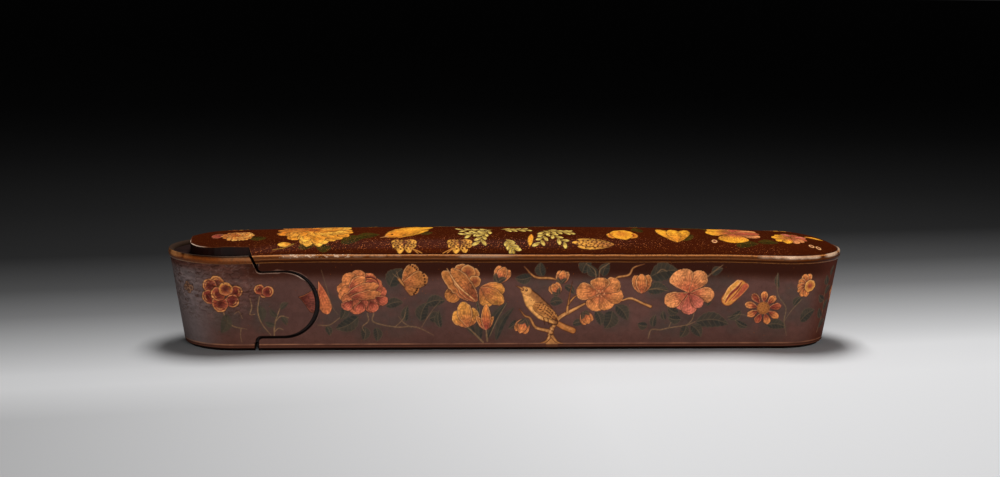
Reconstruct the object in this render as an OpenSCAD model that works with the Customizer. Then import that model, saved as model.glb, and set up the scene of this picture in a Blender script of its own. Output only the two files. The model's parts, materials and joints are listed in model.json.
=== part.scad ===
// Lacquered papier-mache pen box (qalamdan): a flared sleeve with a domed top and a drawer whose
// painted head is cut from the same form. The drawer pulls out at the left end, along -X.
// Millimetres. Origin at the middle of the base, +X towards the closed end, -Y is the front.

/* [Box] */
// Length over the rim bead
box_l = 236; // [216:1:256]
// Width of the body at its waist, at the rim
waist_w = 36.6; // [35.6:0.2:40]
// Width of the body across its end lobes, at the rim
lobe_w = 45; // [42:0.5:48]
// Width of the body at the base
base_w = 36; // [35.6:0.2:37.6]
// Height of the rim line, where the sides meet the domed top
rim_z = 32; // [31:0.5:36]
// Rise of the domed top above the rim line
dome_rise = 6.1; // [5.8:0.1:8]
// Extra rise of the dome at mid-length
dome_arch = 1.7; // [0:0.1:2.5]
// How far each end leans out between base and rim
end_lean = 5.2; // [4:0.2:7]
// Length of the curve that swells each side from the waist to a lobe
lobe_run = 32; // [24:1:40]
// Bevel round the bottom edge
base_bevel = 1.2; // [0.6:0.1:2]
// Thickness of the papier-mache walls
wall = 2.2; // [1.8:0.1:2.4]

/* [Rim bead] */
// Height of the bead that runs round the rim
bead_h = 2.8; // [2.4:0.1:3.6]
// How far the bead stands out from the wall
bead_out = 0.5; // [0.3:0.1:1]
// How deep the bead is let into the wall
bead_in = 1.4; // [1:0.1:1.8]

/* [Cut line] */
// Length of the drawer's head, from the end of the rim to the cut
head_l = 30.5; // [28:0.5:34]
// How far the cut leans from the top of the side tongues up to the dome
cut_slant = 3.2; // [1:0.2:5]
// Length of the rounded tongues on the two sides of the head
side_tongue_l = 20.5; // [16:0.5:24]
// Height of the side tongues
side_tongue_h = 22.2; // [19:0.2:23.4]
// Height of the side tongues' middle line above the base
side_tongue_z = 16.2; // [15.6:0.1:17]
// Fillet where a side tongue leaves the head
root_r = 2; // [1:0.25:2.5]
// Length of the sleeve's tongue over the top of the head
top_tongue_l = 22.5; // [18:0.5:24]
// Width of the sleeve's top tongue
top_tongue_w = 33.5; // [30:0.5:34.5]
// Corner radius at the tip of the top tongue
top_tongue_r = 11; // [6:0.5:13]
// Gap along the pull between head and sleeve
cut_gap = 1; // [0.8:0.1:2]
// Gap round the tongues and under the top tongue
edge_gap = 0.4; // [0.3:0.05:0.6]

/* [Drawer] */
// Clearance between the trough and the sleeve's channel
slide_gap = 0.35; // [0.3:0.05:0.5]
// Gap between the trough's far end and the end of the channel
end_gap = 1; // [0.6:0.1:2]
// Thickness of the trough's walls
trough_wall = 1.5; // [1.2:0.1:1.6]
// Thickness of the trough's floor
trough_floor = 1.5; // [1.2:0.1:2]
// Height of the trough over all
trough_h = 24.4; // [20:0.2:26]
// Thickness of the cross wall between inkwell and pens
partition_t = 1.4; // [1:0.1:2]
// Height of the cross wall above the trough's floor
partition_h = 15; // [10:0.5:18]
// Free length on each side of the inkwell
ink_margin = 2.5; // [1.5:0.25:3]

/* [Inkwell] */
// Width and length of the square brass pot
pot_w = 25; // [23:0.5:26]
// Height of the pot under its top plate
pot_h = 11.5; // [8:0.5:12]
// Thickness of the pot's sheet brass
pot_wall = 1; // [0.6:0.1:1.4]
// Corner radius of the pot
pot_r = 4; // [2:0.5:6]
// Bore of the pot's round mouth
mouth_d = 11; // [9:0.5:12]
// Height of the collar round the mouth
collar_h = 2; // [1.5:0.1:2.5]
// Thickness of the collar's wall
collar_t = 0.9; // [0.6:0.1:1.2]
// Thickness of the lid
lid_t = 1.2; // [1:0.1:1.4]
// Overhang of the lid past the collar
lid_over = 0.5; // [0.3:0.1:0.8]
// Diameter of the hinge pin
pin_d = 1.4; // [1.2:0.1:1.6]
// Outer diameter of the hinge knuckles
knuckle_d = 2.8; // [2.4:0.1:3]
// Length of the lid's middle knuckle
knuckle_l = 5; // [4:0.5:6]
// Length of each of the two outer knuckles
lug_l = 2.4; // [1.5:0.1:3]
// Running clearance of the hinge, on the radius
pin_gap = 0.05; // [0.02:0.01:0.1]
// Gap between knuckles, and between lid and collar
lid_gap = 0.15; // [0.1:0.05:0.3]
// Diameter of the lid's knob
knob_d = 3; // [2:0.25:4]
// Height of the knob
knob_h = 2.6; // [2:0.2:3]

/* [Writing tools] */
// Distance between the rows in which the tools lie
row_pitch = 5.5; // [5:0.1:5.6]
// Side play of a knife, a bar or a spoon in its row
tool_play = 0.3; // [0.2:0.05:0.8]
// Diameter of the reed pens
pen_d = 5.2; // [4:0.1:5.3]
// Length of the longest reed pen
pen_l = 132; // [110:1:150]
// How much shorter each next pen is
pen_step = 9; // [4:1:14]
// Bore of the reed
reed_bore = 2.4; // [1.6:0.1:3]
// Length of a pen's slanting nib cut
nib_l = 17; // [12:0.5:22]
// Length of the penknife's handle
handle_l = 74; // [60:1:80]
// Length of the penknife's ferrule
ferrule_l = 6; // [4:0.5:8]
// Length of the penknife's blade
blade_l = 42; // [30:1:50]
// Thickness of the penknife's blade
blade_t = 1; // [0.8:0.1:1.4]
// Length of the bar on which nibs are trimmed
rest_l = 48; // [40:1:56]
// Thickness of the nib bar
rest_t = 2.4; // [1.8:0.1:3]
// Length of the ink spoon
spoon_l = 70; // [60:1:80]
// Diameter of the ink spoon's handle
spoon_d = 1.8; // [1.4:0.1:2.2]
// Gap left at the ends of a row of tools
row_gap = 2; // [1:0.25:3]

/* [Hidden] */

// Reach of the cutting solids past the box
far = box_l;
// Thickness of the slivers by which cutters overlap what they cut
over = 1;

// Half lengths of the wall at base and rim, and radii of the round ends in plan
rim_hl = box_l / 2 - bead_out;
base_hl = rim_hl - end_lean;
rim_r = lobe_w / 2;
base_r = base_w / 2;
rim_c = rim_hl - rim_r;
base_c = base_hl - base_r;
// The swelling of the sides ends this far past the start of the round end
lobe_past = 6;
// Roundness of the dome across, where 0.5 is an ellipse and higher is leaner, and of its arch along the box
dome_power = 0.6;
arch_power = 3;
dome_top = rim_z + dome_rise + dome_arch;

// Facets of the form: along one side, round one end, up the wall, over the dome
side_steps = 48;
end_steps = 24;
wall_levels = [0.25, 0.5, 0.75, 1];
dome_rings = [0.97, 0.9, 0.8, 0.66, 0.48, 0.24, 0.08];

// The cut
cut_x = -box_l / 2 + head_l;
tongue_r = side_tongue_h / 2;
tongue_tip_x = cut_x + side_tongue_l;
top_tip_x = cut_x - top_tongue_l;
// Height above the rim at which the leaning cut is measured, where its lean starts, and its lean
slant_top = 4;
root_top = side_tongue_z + tongue_r + root_r;
lean = cut_slant / (rim_z + slant_top - root_top);

// The channel in the sleeve and the trough that runs in it
channel_r = base_r - wall;
channel_end = base_hl - wall;
ceiling_z = rim_z + edge_gap;
trough_r = channel_r - slide_gap;
trough_z = wall + slide_gap;
trough_end = channel_end - end_gap;
trough_start = -(base_hl - wall - slide_gap);
inner_r = trough_r - trough_wall;
floor_z = trough_z + trough_floor;

// Inkwell and its hinge
pot_x = cut_x + cut_gap + wall + ink_margin + pot_w / 2;
plate_z = floor_z + pot_h;
collar_z = plate_z + pot_wall;
collar_r = mouth_d / 2 + collar_t;
lid_z = collar_z + collar_h + lid_gap;
lid_r = collar_r + lid_over;
knuckle_r = knuckle_d / 2;
hinge_x = pot_x - lid_r - knuckle_r;
hinge_z = lid_z + lid_t / 2;
pin_l = knuckle_l + 2 * (lid_gap + lug_l);

// Rows of tools
partition_x = pot_x + pot_w / 2 + ink_margin;
row_start = partition_x + partition_t + row_gap;
pen_r = pen_d / 2;
pen_z = floor_z + pen_r;
knife_r = (row_pitch - tool_play) / 2;
knife_z = floor_z + knife_r;
handle_sides = 8;
rest_w = row_pitch - tool_play;
bowl_r = (row_pitch - tool_play) / 2;

lacquer = [0.27, 0.13, 0.09];
bead_gold = [0.55, 0.32, 0.16];
paper_red = [0.42, 0.12, 0.07];
brass = [0.72, 0.55, 0.25];
reed = [0.62, 0.42, 0.22];
bone = [0.87, 0.8, 0.66];
steel = [0.6, 0.6, 0.6];

function mix(a, b, t) = a + (b - a) * t;
function ease(t) = let (u = max(0, min(1, t))) u * u * (3 - 2 * u);
function arc(c, r, from, to, steps) =
    [for (i = [0:steps]) let (a = mix(from, to, i / steps)) c + r * [cos(a), sin(a)]];

// Half width of the wall at height fraction f (0 base, 1 rim) and position x
function swell(x) = ease((abs(x) - rim_c + lobe_run - lobe_past) / lobe_run);
function half_w(f, x) = mix(base_r, mix(waist_w / 2, rim_r, swell(x)), f);
function dome_h(x) = dome_rise + dome_arch * (1 - pow(min(abs(x) / rim_c, 1), arch_power));

// One point of the plan outline: stations run along the front, the closed end, the back, the head's end
stations = 2 * (side_steps + end_steps);
function plan_point(f, k, inset, i) =
    let (
        c = mix(base_c, rim_c, f),
        r = mix(base_r, rim_r, f) - inset,
        half = side_steps + end_steps,
        turn = i >= half ? -1 : 1,
        j = i % half,
        on_side = j < side_steps,
        a = on_side ? 0 : 180 * (j - side_steps) / end_steps,
        x = on_side ? c * sin(mix(-90, 90, j / side_steps)) : c + k * r * sin(a)
    )
    turn * [x, -k * (half_w(f, x) - inset) * cos(a)];

function wall_ring(z, inset = 0) =
    [for (i = [0:stations - 1]) let (p = plan_point(z / rim_z, 1, inset, i)) [p.x, p.y, z]];
function dome_ring(k) =
    [for (i = [0:stations - 1])
        let (p = plan_point(1, k, 0, i)) [p.x, p.y, rim_z + dome_h(p.x) * pow(1 - k * k, dome_power)]];

function flatten(lists) = [for (l = lists) each l];
function side_faces(rings) =
    [for (r = [0:rings - 2], i = [0:stations - 1])
        let (a = r * stations + i, b = r * stations + (i + 1) % stations)
        each [[a, a + stations, b], [b, a + stations, b + stations]]];
// The dome's last ring closes with a strip between its front and its back, from tip to tip
function strip_faces(first) =
    let (half = side_steps + end_steps, tip = half + side_steps + end_steps / 2)
    [for (t = [0:half - 1])
        let (
            a = first + (tip + t) % stations,
            b = first + (tip + t + 1) % stations,
            d = first + (tip - t) % stations,
            e = first + (tip - t - 1) % stations
        )
        each [if (a != d) [a, d, b], if (b != e) [b, d, e]]];

// The whole painted form, sleeve and head together
module form() {
    rings = concat(
        [wall_ring(0, base_bevel), wall_ring(base_bevel)],
        [for (f = wall_levels) wall_ring(f * rim_z)],
        [for (k = dome_rings) dome_ring(k)]
    );
    last = (len(rings) - 1) * stations;
    base = [[for (i = [0:stations - 1]) i]];
    polyhedron(flatten(rings), concat(base, side_faces(len(rings)), strip_faces(last)), convexity = 6);
}

// Side view of the head: the cut, with a rounded tongue that reaches into the sleeve's wall
function head_outline(gap_x, gap) =
    let (
        r = tongue_r + gap,
        x = cut_x + gap_x,
        tip = [tongue_tip_x + gap_x - r, side_tongue_z],
        low = side_tongue_z - r,
        high = side_tongue_z + r,
        root = root_r - gap,
        top = dome_top + over
    )
    concat(
        [[-far, -over], [x, -over]],
        arc([x + root, low - root], root, 180, 90, 5),
        arc(tip, r, -90, 90, 24),
        arc([x + root, high + root], root, 270, 180, 5),
        [[x - lean * (top - root_top), top], [-far, top]]
    );

module head_prism(gap_x, gap) {
    rotate([90, 0, 0])
        translate([0, 0, -far / 2])
            linear_extrude(far) polygon(head_outline(gap_x, gap));
}

// Plan of the sleeve's tongue that lies over the head
module top_tongue(z) {
    half = top_tongue_w / 2;
    centre = top_tip_x + top_tongue_r;
    side = half - top_tongue_r;
    root = cut_x + head_l;
    translate([0, 0, z])
        linear_extrude(far) polygon(concat(
            [[root, half]],
            arc([centre, side], top_tongue_r, 90, 180, 8),
            arc([centre, -side], top_tongue_r, 180, 270, 8),
            [[root, -half]]
        ));
}

// A straight slot with round ends, as the trough and its channel have in plan
module slot(x1, x2, r, z, h) {
    translate([x1 + r, -r, z]) cube([x2 - x1 - 2 * r, 2 * r, h]);
    translate([x1 + r, 0, z]) cylinder(r = r, h = h, $fn = 96);
    translate([x2 - r, 0, z]) cylinder(r = r, h = h, $fn = 96);
}

// The straight channel in the sleeve, with a shallow vault that springs just inside its walls
module channel() {
    slot(-far, channel_end, channel_r, wall, ceiling_z - wall);
    vault_rise = dome_rise - wall - edge_gap;
    vault_w = channel_r - edge_gap;
    vault_r = (pow(vault_w, 2) + pow(vault_rise, 2)) / (2 * vault_rise);
    vault_start = cut_x + cut_gap + wall;
    vault_end = channel_end - channel_r - over;
    intersection() {
        translate([vault_start, 0, ceiling_z + vault_rise - vault_r])
            rotate([0, 90, 0]) cylinder(r = vault_r, h = vault_end - vault_start, $fn = 128);
        translate([vault_start - over, -vault_w, ceiling_z - over])
            cube([vault_end - vault_start + 2 * over, 2 * vault_w, vault_rise + 2 * over]);
    }
}

// Half-round bead along the rim between two stations of the outline
bead_sides = 10;
function bead_section(p, out) =
    [for (s = [0:bead_sides - 1])
        let (a = -360 * s / bead_sides, reach = cos(a) > 0 ? bead_out : bead_in)
        [p.x + out.x * reach * cos(a), p.y + out.y * reach * cos(a), rim_z + bead_h / 2 * sin(a)]];
function unit(v) = v / norm(v);
function bead_path(first, last) =
    [for (i = [first:last]) plan_point(1, 1, 0, i % stations)];
module bead_sweep(path) {
    n = len(path);
    sections = [for (i = [0:n - 1])
        let (t = unit(path[min(i + 1, n - 1)] - path[max(i - 1, 0)])) bead_section(path[i], [t.y, -t.x])];
    faces = [for (i = [0:n - 2], s = [0:bead_sides - 1])
        let (a = i * bead_sides + s, b = i * bead_sides + (s + 1) % bead_sides)
        each [[a, b, a + bead_sides], [b, b + bead_sides, a + bead_sides]]];
    start = [for (s = [0:bead_sides - 1]) bead_sides - 1 - s];
    end = [for (s = [0:bead_sides - 1]) (n - 1) * bead_sides + s];
    polyhedron(flatten(sections), concat(faces, [start, end]), convexity = 6);
}
// The bead's path on the head's side of the cut, and on the closed end's side
head_bead_x = cut_x - lean * (rim_z - root_top);
sleeve_bead_x = head_bead_x + cut_gap;
function rim_x(x, side) = [x, side * half_w(1, x)];
sleeve_bead_path = concat(
    [rim_x(sleeve_bead_x, -1)],
    [for (p = bead_path(0, stations - end_steps)) if (p.x > sleeve_bead_x + over) p],
    [rim_x(sleeve_bead_x, 1)]
);
head_bead_path = concat(
    [rim_x(head_bead_x, 1)],
    [for (p = bead_path(side_steps + end_steps, stations + side_steps)) if (p.x < head_bead_x - over) p],
    [rim_x(head_bead_x, -1)]
);

// A shell of the form is one faceted skin; a size of 0 keeps it as it is
module faceted_shell() {
    resize([0, 0, 0]) children();
}

module sleeve_shell() {
    color(lacquer)
        faceted_shell()
            difference() {
                form();
                difference() {
                    head_prism(cut_gap, edge_gap);
                    top_tongue(ceiling_z);
                }
                channel();
            }
}

module sleeve_rim_bead() {
    color(bead_gold) bead_sweep(sleeve_bead_path);
}

module drawer_head() {
    color(lacquer)
        faceted_shell()
            difference() {
                intersection() {
                    form();
                    head_prism(0, 0);
                    translate([-far, -far / 2, -over]) cube([2 * far, far, rim_z + over]);
                }
                slot(trough_start, trough_end, trough_r, trough_z, rim_z - wall - trough_z);
            }
}

module head_rim_bead() {
    color(bead_gold) bead_sweep(head_bead_path);
}

module drawer_trough() {
    color(paper_red)
        difference() {
            slot(trough_start, trough_end, trough_r, trough_z, trough_h);
            slot(trough_start + trough_wall, trough_end - trough_wall, inner_r, floor_z, trough_h);
        }
}

module ink_partition() {
    color(paper_red)
        translate([partition_x, -inner_r, floor_z]) cube([partition_t, 2 * inner_r, partition_h]);
}

// Square with round corners, centred
module round_square(w, r) {
    side = w / 2 - r;
    polygon(flatten([for (q = [0:3])
        arc(side * [q == 0 || q == 3 ? 1 : -1, q < 2 ? 1 : -1], r, 90 * q, 90 * q + 90, 8)]));
}

module inkwell_pot() {
    color(brass)
        translate([pot_x, 0, floor_z])
            difference() {
                linear_extrude(pot_h) round_square(pot_w, pot_r);
                translate([0, 0, pot_wall])
                    linear_extrude(pot_h) round_square(pot_w - 2 * pot_wall, pot_r - pot_wall);
            }
}

// A cylinder along Y, centred on y
module barrel(d, l, y) {
    translate([hinge_x, y + l / 2, hinge_z]) rotate([90, 0, 0]) cylinder(d = d, h = l, $fn = 48);
}
lug_y = (knuckle_l + lug_l) / 2 + lid_gap;

module inkwell_top() {
    color(brass)
        difference() {
            union() {
                translate([pot_x, 0, plate_z]) linear_extrude(pot_wall) round_square(pot_w, pot_r);
                translate([pot_x, 0, plate_z]) cylinder(r = collar_r, h = pot_wall + collar_h, $fn = 64);
                for (side = [-1, 1]) {
                    barrel(knuckle_d, lug_l, side * lug_y);
                    translate([hinge_x - knuckle_r, side * lug_y - lug_l / 2, plate_z])
                        cube([knuckle_d, lug_l, hinge_z - plate_z]);
                }
            }
            translate([pot_x, 0, plate_z - over])
                cylinder(d = mouth_d, h = pot_wall + collar_h + 2 * over, $fn = 64);
            for (side = [-1, 1])
                barrel(pin_d, lug_l + 2 * over, side * lug_y);
        }
}

module inkwell_hinge_pin() {
    color(brass) barrel(pin_d, pin_l, 0);
}

module inkwell_lid() {
    color(brass)
        difference() {
            union() {
                translate([pot_x, 0, lid_z]) cylinder(r = lid_r, h = lid_t, $fn = 64);
                translate([hinge_x, -knuckle_l / 2, lid_z]) cube([pot_x - hinge_x, knuckle_l, lid_t]);
                barrel(knuckle_d, knuckle_l, 0);
            }
            barrel(pin_d + 2 * pin_gap, knuckle_l + 2 * over, 0);
        }
}

module lid_knob() {
    color(brass)
        translate([pot_x, 0, lid_z + lid_t]) {
            cylinder(d = knob_d / 2, h = knob_h - knob_d / 4, $fn = 32);
            translate([0, 0, knob_h - knob_d / 2])
                intersection() {
                    sphere(d = knob_d, $fn = 48);
                    translate([0, 0, knob_d / 4 - knob_d / 2])
                        cylinder(d = knob_d + over, h = knob_d, $fn = 48);
                }
        }
}

function row_y(row) = (row - 2) * row_pitch;

// A reed tube whose end is cut to a slanting nib
module reed_pen(l, row) {
    slope = atan(pen_d / nib_l);
    color(reed)
        translate([row_start, row_y(row), pen_z])
            difference() {
                rotate([0, 90, 0]) cylinder(d = pen_d, h = l, $fn = 40);
                translate([-over, 0, 0]) rotate([0, 90, 0]) cylinder(d = reed_bore, h = l - nib_l, $fn = 32);
                translate([l, 0, -pen_r + pen_d / 6])
                    rotate([0, slope, 0]) translate([-far, -pen_d, 0]) cube([2 * far, 2 * pen_d, far]);
            }
}
module reed_pen_1() {
    reed_pen(pen_l, 2);
}
module reed_pen_2() {
    reed_pen(pen_l - pen_step, 3);
}
module reed_pen_3() {
    reed_pen(pen_l - 2 * pen_step, 4);
}

module penknife_handle() {
    color(bone)
        translate([row_start, row_y(0), knife_z])
            rotate([0, 90, 0])
                rotate(180 / handle_sides) cylinder(r = knife_r, h = handle_l, $fn = handle_sides);
}

module penknife_ferrule() {
    color(brass)
        translate([row_start + handle_l, row_y(0), knife_z])
            rotate([0, 90, 0]) cylinder(r = knife_r * cos(180 / handle_sides), h = ferrule_l, $fn = 40);
}

module penknife_blade() {
    tang_x = row_start + handle_l + ferrule_l;
    edge_z = -knife_r / 2;
    spine_z = knife_r * 0.7;
    belly_r = knife_r * 1.3;
    belly_x = blade_l - 2 * knife_r;
    color(steel)
        translate([tang_x, row_y(0) + blade_t / 2, knife_z])
            rotate([90, 0, 0])
                linear_extrude(blade_t)
                    polygon(concat(
                        [[0, edge_z]],
                        arc([belly_x, edge_z + belly_r], belly_r, -90, -20, 6),
                        [[blade_l, spine_z], [0, spine_z]]
                    ));
}

module nib_bar() {
    groove_l = rest_l * 0.4;
    groove_deep = pen_r * 0.4;
    color(bone)
        translate([row_start, row_y(1) - rest_w / 2, floor_z])
            difference() {
                cube([rest_l, rest_w, rest_t]);
                translate([(rest_l - groove_l) / 2, rest_w / 2, rest_t + pen_r - groove_deep])
                    rotate([0, 90, 0]) cylinder(r = pen_r, h = groove_l, $fn = 48);
            }
}

module ink_spoon() {
    bowl_x = row_start + rest_l + row_gap + spoon_l - bowl_r;
    bowl_t = spoon_d / 3;
    handle_z = bowl_r - spoon_d * 0.7;
    color(brass)
        translate([0, row_y(1), floor_z]) {
            difference() {
                translate([bowl_x, 0, bowl_r]) sphere(r = bowl_r, $fn = 48);
                translate([bowl_x, 0, bowl_r]) sphere(r = bowl_r - bowl_t, $fn = 48);
                translate([bowl_x - far / 2, -far / 2, bowl_r]) cube(far);
            }
            translate([bowl_x - spoon_l + bowl_r, 0, handle_z])
                rotate([0, 90, 0]) cylinder(d = spoon_d, h = spoon_l - 2 * bowl_r + spoon_d / 2, $fn = 24);
        }
}

sleeve_shell();
sleeve_rim_bead();
drawer_head();
head_rim_bead();
drawer_trough();
ink_partition();
inkwell_pot();
inkwell_top();
inkwell_hinge_pin();
inkwell_lid();
lid_knob();
reed_pen_1();
reed_pen_2();
reed_pen_3();
penknife_handle();
penknife_ferrule();
penknife_blade();
nib_bar();
ink_spoon();
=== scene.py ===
"""Lacquered papier-mache pen box: painted skins over the solid sleeve and drawer head, moulded rim beads,
and the finishes of the drawer and its tools. Sizes are in millimetres until a mesh is made."""
import json
import math

import bpy
import numpy as np
from mathutils import Matrix, Vector


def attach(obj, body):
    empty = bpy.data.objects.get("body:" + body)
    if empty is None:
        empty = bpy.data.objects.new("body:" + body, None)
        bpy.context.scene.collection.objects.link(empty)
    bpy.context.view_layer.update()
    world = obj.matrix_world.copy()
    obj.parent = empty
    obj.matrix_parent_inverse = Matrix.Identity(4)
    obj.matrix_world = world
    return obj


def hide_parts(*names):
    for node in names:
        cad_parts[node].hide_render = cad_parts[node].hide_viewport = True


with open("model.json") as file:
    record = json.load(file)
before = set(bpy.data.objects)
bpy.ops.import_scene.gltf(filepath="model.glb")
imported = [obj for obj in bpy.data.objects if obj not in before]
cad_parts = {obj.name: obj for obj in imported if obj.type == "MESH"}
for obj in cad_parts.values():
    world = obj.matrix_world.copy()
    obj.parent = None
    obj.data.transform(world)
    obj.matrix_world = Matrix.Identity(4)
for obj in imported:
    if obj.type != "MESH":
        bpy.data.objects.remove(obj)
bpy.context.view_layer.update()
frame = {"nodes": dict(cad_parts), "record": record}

MM = 0.001

# The painted form, with the sizes that its solids have
BOX_L = 236
WAIST_W = 36.6
LOBE_W = 45
BASE_W = 36
RIM_Z = 32
DOME_RISE = 6.1
DOME_ARCH = 1.7
DOME_POWER = 0.6
ARCH_POWER = 3
END_LEAN = 5.2
LOBE_RUN = 32
LOBE_PAST = 6
BASE_BEVEL = 1.2
BEAD_H = 2.8
BEAD_OUT = 0.5
BEAD_IN = 1.4

# The cut between the drawer's head and the sleeve
HEAD_L = 30.5
CUT_SLANT = 3.2
SLANT_TOP = 4
SIDE_TONGUE_L = 20.5
SIDE_TONGUE_H = 22.2
SIDE_TONGUE_Z = 16.2
ROOT_R = 2
TOP_TONGUE_L = 22.5
TOP_TONGUE_W = 33.5
TOP_TONGUE_R = 11
CUT_GAP = 1
EDGE_GAP = 0.4

RIM_HL = BOX_L / 2 - BEAD_OUT
BASE_HL = RIM_HL - END_LEAN
RIM_R = LOBE_W / 2
BASE_R = BASE_W / 2
RIM_C = RIM_HL - RIM_R
BASE_C = BASE_HL - BASE_R
CUT_X = -BOX_L / 2 + HEAD_L
ROOT_TOP = SIDE_TONGUE_Z + SIDE_TONGUE_H / 2 + ROOT_R
CUT_LEAN = CUT_SLANT / (RIM_Z + SLANT_TOP - ROOT_TOP)
TOP_TIP_X = CUT_X - TOP_TONGUE_L

# Painted skins: how far they stand proud of the form, how deep they sink in it, the spacing of their points,
# the fine steps in a coarse one, how far below the rim's plane the walls' skins end, the width at which
# a skin runs out, and the angle from which its edges are sharp
SKIN = 0.09
SUNK = 0.3
FINE = 0.2
PLAIN = 0.26
COARSE = 6
RIM_TUCK = 0.8
SLIVER = 0.02
SHARP_ANGLE = 50

# The top's skins: how near to the rim they end, where two of them meet, and how their flanks are spaced
TOP_EDGE = 0.965
TOP_MIDDLE = 20
FLANK_RUN = 9
FLANK_TURN = math.pi / 2 * 0.86
SEAM_ROUNDS = 4

# A distance from a cut edge that is out of its reach
FAR = 99

# The beads' groove, the stretch that leans with the cut, and how far their painted lines reach and waver
BEAD_SIDES = 32
GROOVE_HALF = 0.35
GROOVE_LEVEL = -0.25
LEAN_REACH = 4
LINES_HALF = 1.5
LINE_WOBBLE = 0.12

# Finishes: the depth of bumps, the waver of cracks, the bare stretch before the vine, and the reed's knots
BUMP_DEPTH = 0.2
CRACK_WARP = 2.2
VINE_GAP = 4
REED_KNOT = 44

# A place on a wall is given by s, the length along its outline from mid-box, and z. On the straight
# run s is x. The outline's round ends start at S_END.
S_TRUE = 90
S_END = (RIM_C + BASE_C) / 2
S_TURN = (RIM_R + BASE_R) / 2
S_TIP = S_END + S_TURN * math.pi / 2
SKIN_TOP = RIM_Z - RIM_TUCK


def mix(a, b, t):
    return a + (b - a) * t


def ease(t):
    t = np.clip(t, 0, 1)
    return t * t * (3 - 2 * t)


def half_width(f, x):
    swell = ease((np.abs(x) - RIM_C + LOBE_RUN - LOBE_PAST) / LOBE_RUN)
    return mix(BASE_R, mix(WAIST_W / 2, RIM_R, swell), f)


def wall_points(s, z, side):
    """Points of the outer wall; side is -1 on the front and 1 on the back."""
    f = z / RIM_Z
    inset = np.maximum(BASE_BEVEL - z, 0)
    c = mix(BASE_C, RIM_C, f)
    r = mix(BASE_R, RIM_R, f) - inset
    run = np.minimum(np.abs(s), S_END)
    run = np.where(run < S_TRUE, run, mix(S_TRUE, c, (run - S_TRUE) / (S_END - S_TRUE)))
    turn = np.clip((np.abs(s) - S_END) / S_TURN, 0, math.pi / 2)
    x = run + r * np.sin(turn)
    y = (half_width(f, x) - inset) * np.cos(turn)
    return np.stack([np.sign(s) * x, side * y, z], -1)


def dome_z(x, y):
    rise = DOME_RISE + DOME_ARCH * (1 - np.minimum(np.abs(x) / RIM_C, 1) ** ARCH_POWER)
    past = np.maximum(np.abs(x) - RIM_C, 0) / RIM_R
    k2 = np.clip((y / half_width(1, x)) ** 2 + past ** 2, 0, 1)
    return RIM_Z + rise * (1 - k2) ** DOME_POWER


def dome_half(x, k):
    """Half width of the dome at x, at k of the way from its middle to the rim."""
    past = np.maximum(np.abs(x) - RIM_C, 0) / RIM_R
    return half_width(1, x) * np.sqrt(np.maximum(k * k - past ** 2, 0))


def cut_x_at(z):
    """The head's leaning edge above the root of its side tongue."""
    return CUT_X - CUT_LEAN * (z - ROOT_TOP)


def notch_heights(x, gap_x, gap):
    """Lower and upper edge of the side tongue at x, for the head itself or for the sleeve's notch."""
    r = SIDE_TONGUE_H / 2 + gap
    root = ROOT_R - gap
    start = CUT_X + gap_x
    centre = CUT_X + SIDE_TONGUE_L + gap_x - r
    round_tip = np.sqrt(np.maximum(r * r - np.maximum(x - centre, 0) ** 2, 0))
    flare = root - np.sqrt(np.maximum(root ** 2 - np.maximum(start + root - x, 0) ** 2, 0))
    lean = np.maximum(start - x, 0) / CUT_LEAN
    reach = round_tip + np.where(x < start, root, flare)
    return SIDE_TONGUE_Z - reach, SIDE_TONGUE_Z + reach + lean


# Brush and colours. Colours are written as screen values and made linear when a piece is coloured.
def colour(red, green, blue):
    return np.array([red, green, blue]) / 255


def to_linear(rgb):
    return np.where(rgb < 0.04045, rgb / 12.92, ((rgb + 0.055) / 1.055) ** 2.4)


AUBERGINE = colour(87, 58, 51)
SMOKE = colour(56, 56, 50)
GARNET = colour(62, 21, 6)
UMBER = colour(44, 20, 12)
# Near black, for painted shade at the walls' foot and beside the gaps of the cuts
PAINTED_SHADE_BLACK = colour(12, 6, 4)
CRIMSON = colour(108, 38, 33)
MADDER = colour(158, 70, 52)
ROSE = colour(180, 86, 56)
PEACH = colour(202, 120, 64)
LIT_PEACH = colour(216, 136, 80)
BLUSH = colour(204, 108, 84)
APRICOT = colour(206, 122, 58)
CREAM = colour(238, 176, 116)
STRAW = colour(216, 142, 64)
LEMON = colour(244, 176, 66)
AMBER = colour(232, 138, 44)
GOLD = colour(240, 162, 46)
RUST = colour(160, 70, 24)
TAN = colour(176, 107, 53)
BARK = colour(184, 122, 68)
SEPIA = colour(70, 34, 18)
PINE = colour(46, 46, 39)
MOSS = colour(58, 54, 43)
OLIVE = colour(108, 86, 62)
STEM = colour(122, 92, 64)
WORN = colour(206, 180, 160)
GILT = colour(178, 120, 84)
# Grey of a painted reflection on the left end of the walls
PAINTED_SHEEN_GREY = colour(114, 103, 102)
FOOT_BROWN = colour(104, 60, 44)
WARM_BROWN = colour(84, 50, 40)
UNDER_RIM = colour(44, 14, 3)
END_BROWN = colour(80, 34, 20)
FERN = colour(44, 40, 12)
FERN_VEIN = colour(112, 94, 28)
TWIG = colour(150, 110, 40)
FROND_STALK = colour(120, 92, 34)
FROND_DEEP = colour(138, 104, 34)
FROND = colour(230, 192, 92)
FROND_LIT = colour(250, 224, 140)
CRACKLE = colour(116, 98, 90)
RUBBED_BROWN = colour(130, 84, 50)
FLECK_DARK = colour(80, 30, 8)
FLECK_BRIGHT = colour(140, 74, 24)
VINE_GILT = colour(146, 96, 44)
BEAD_SHADE = colour(30, 12, 6)
INK = colour(22, 15, 14)


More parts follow.
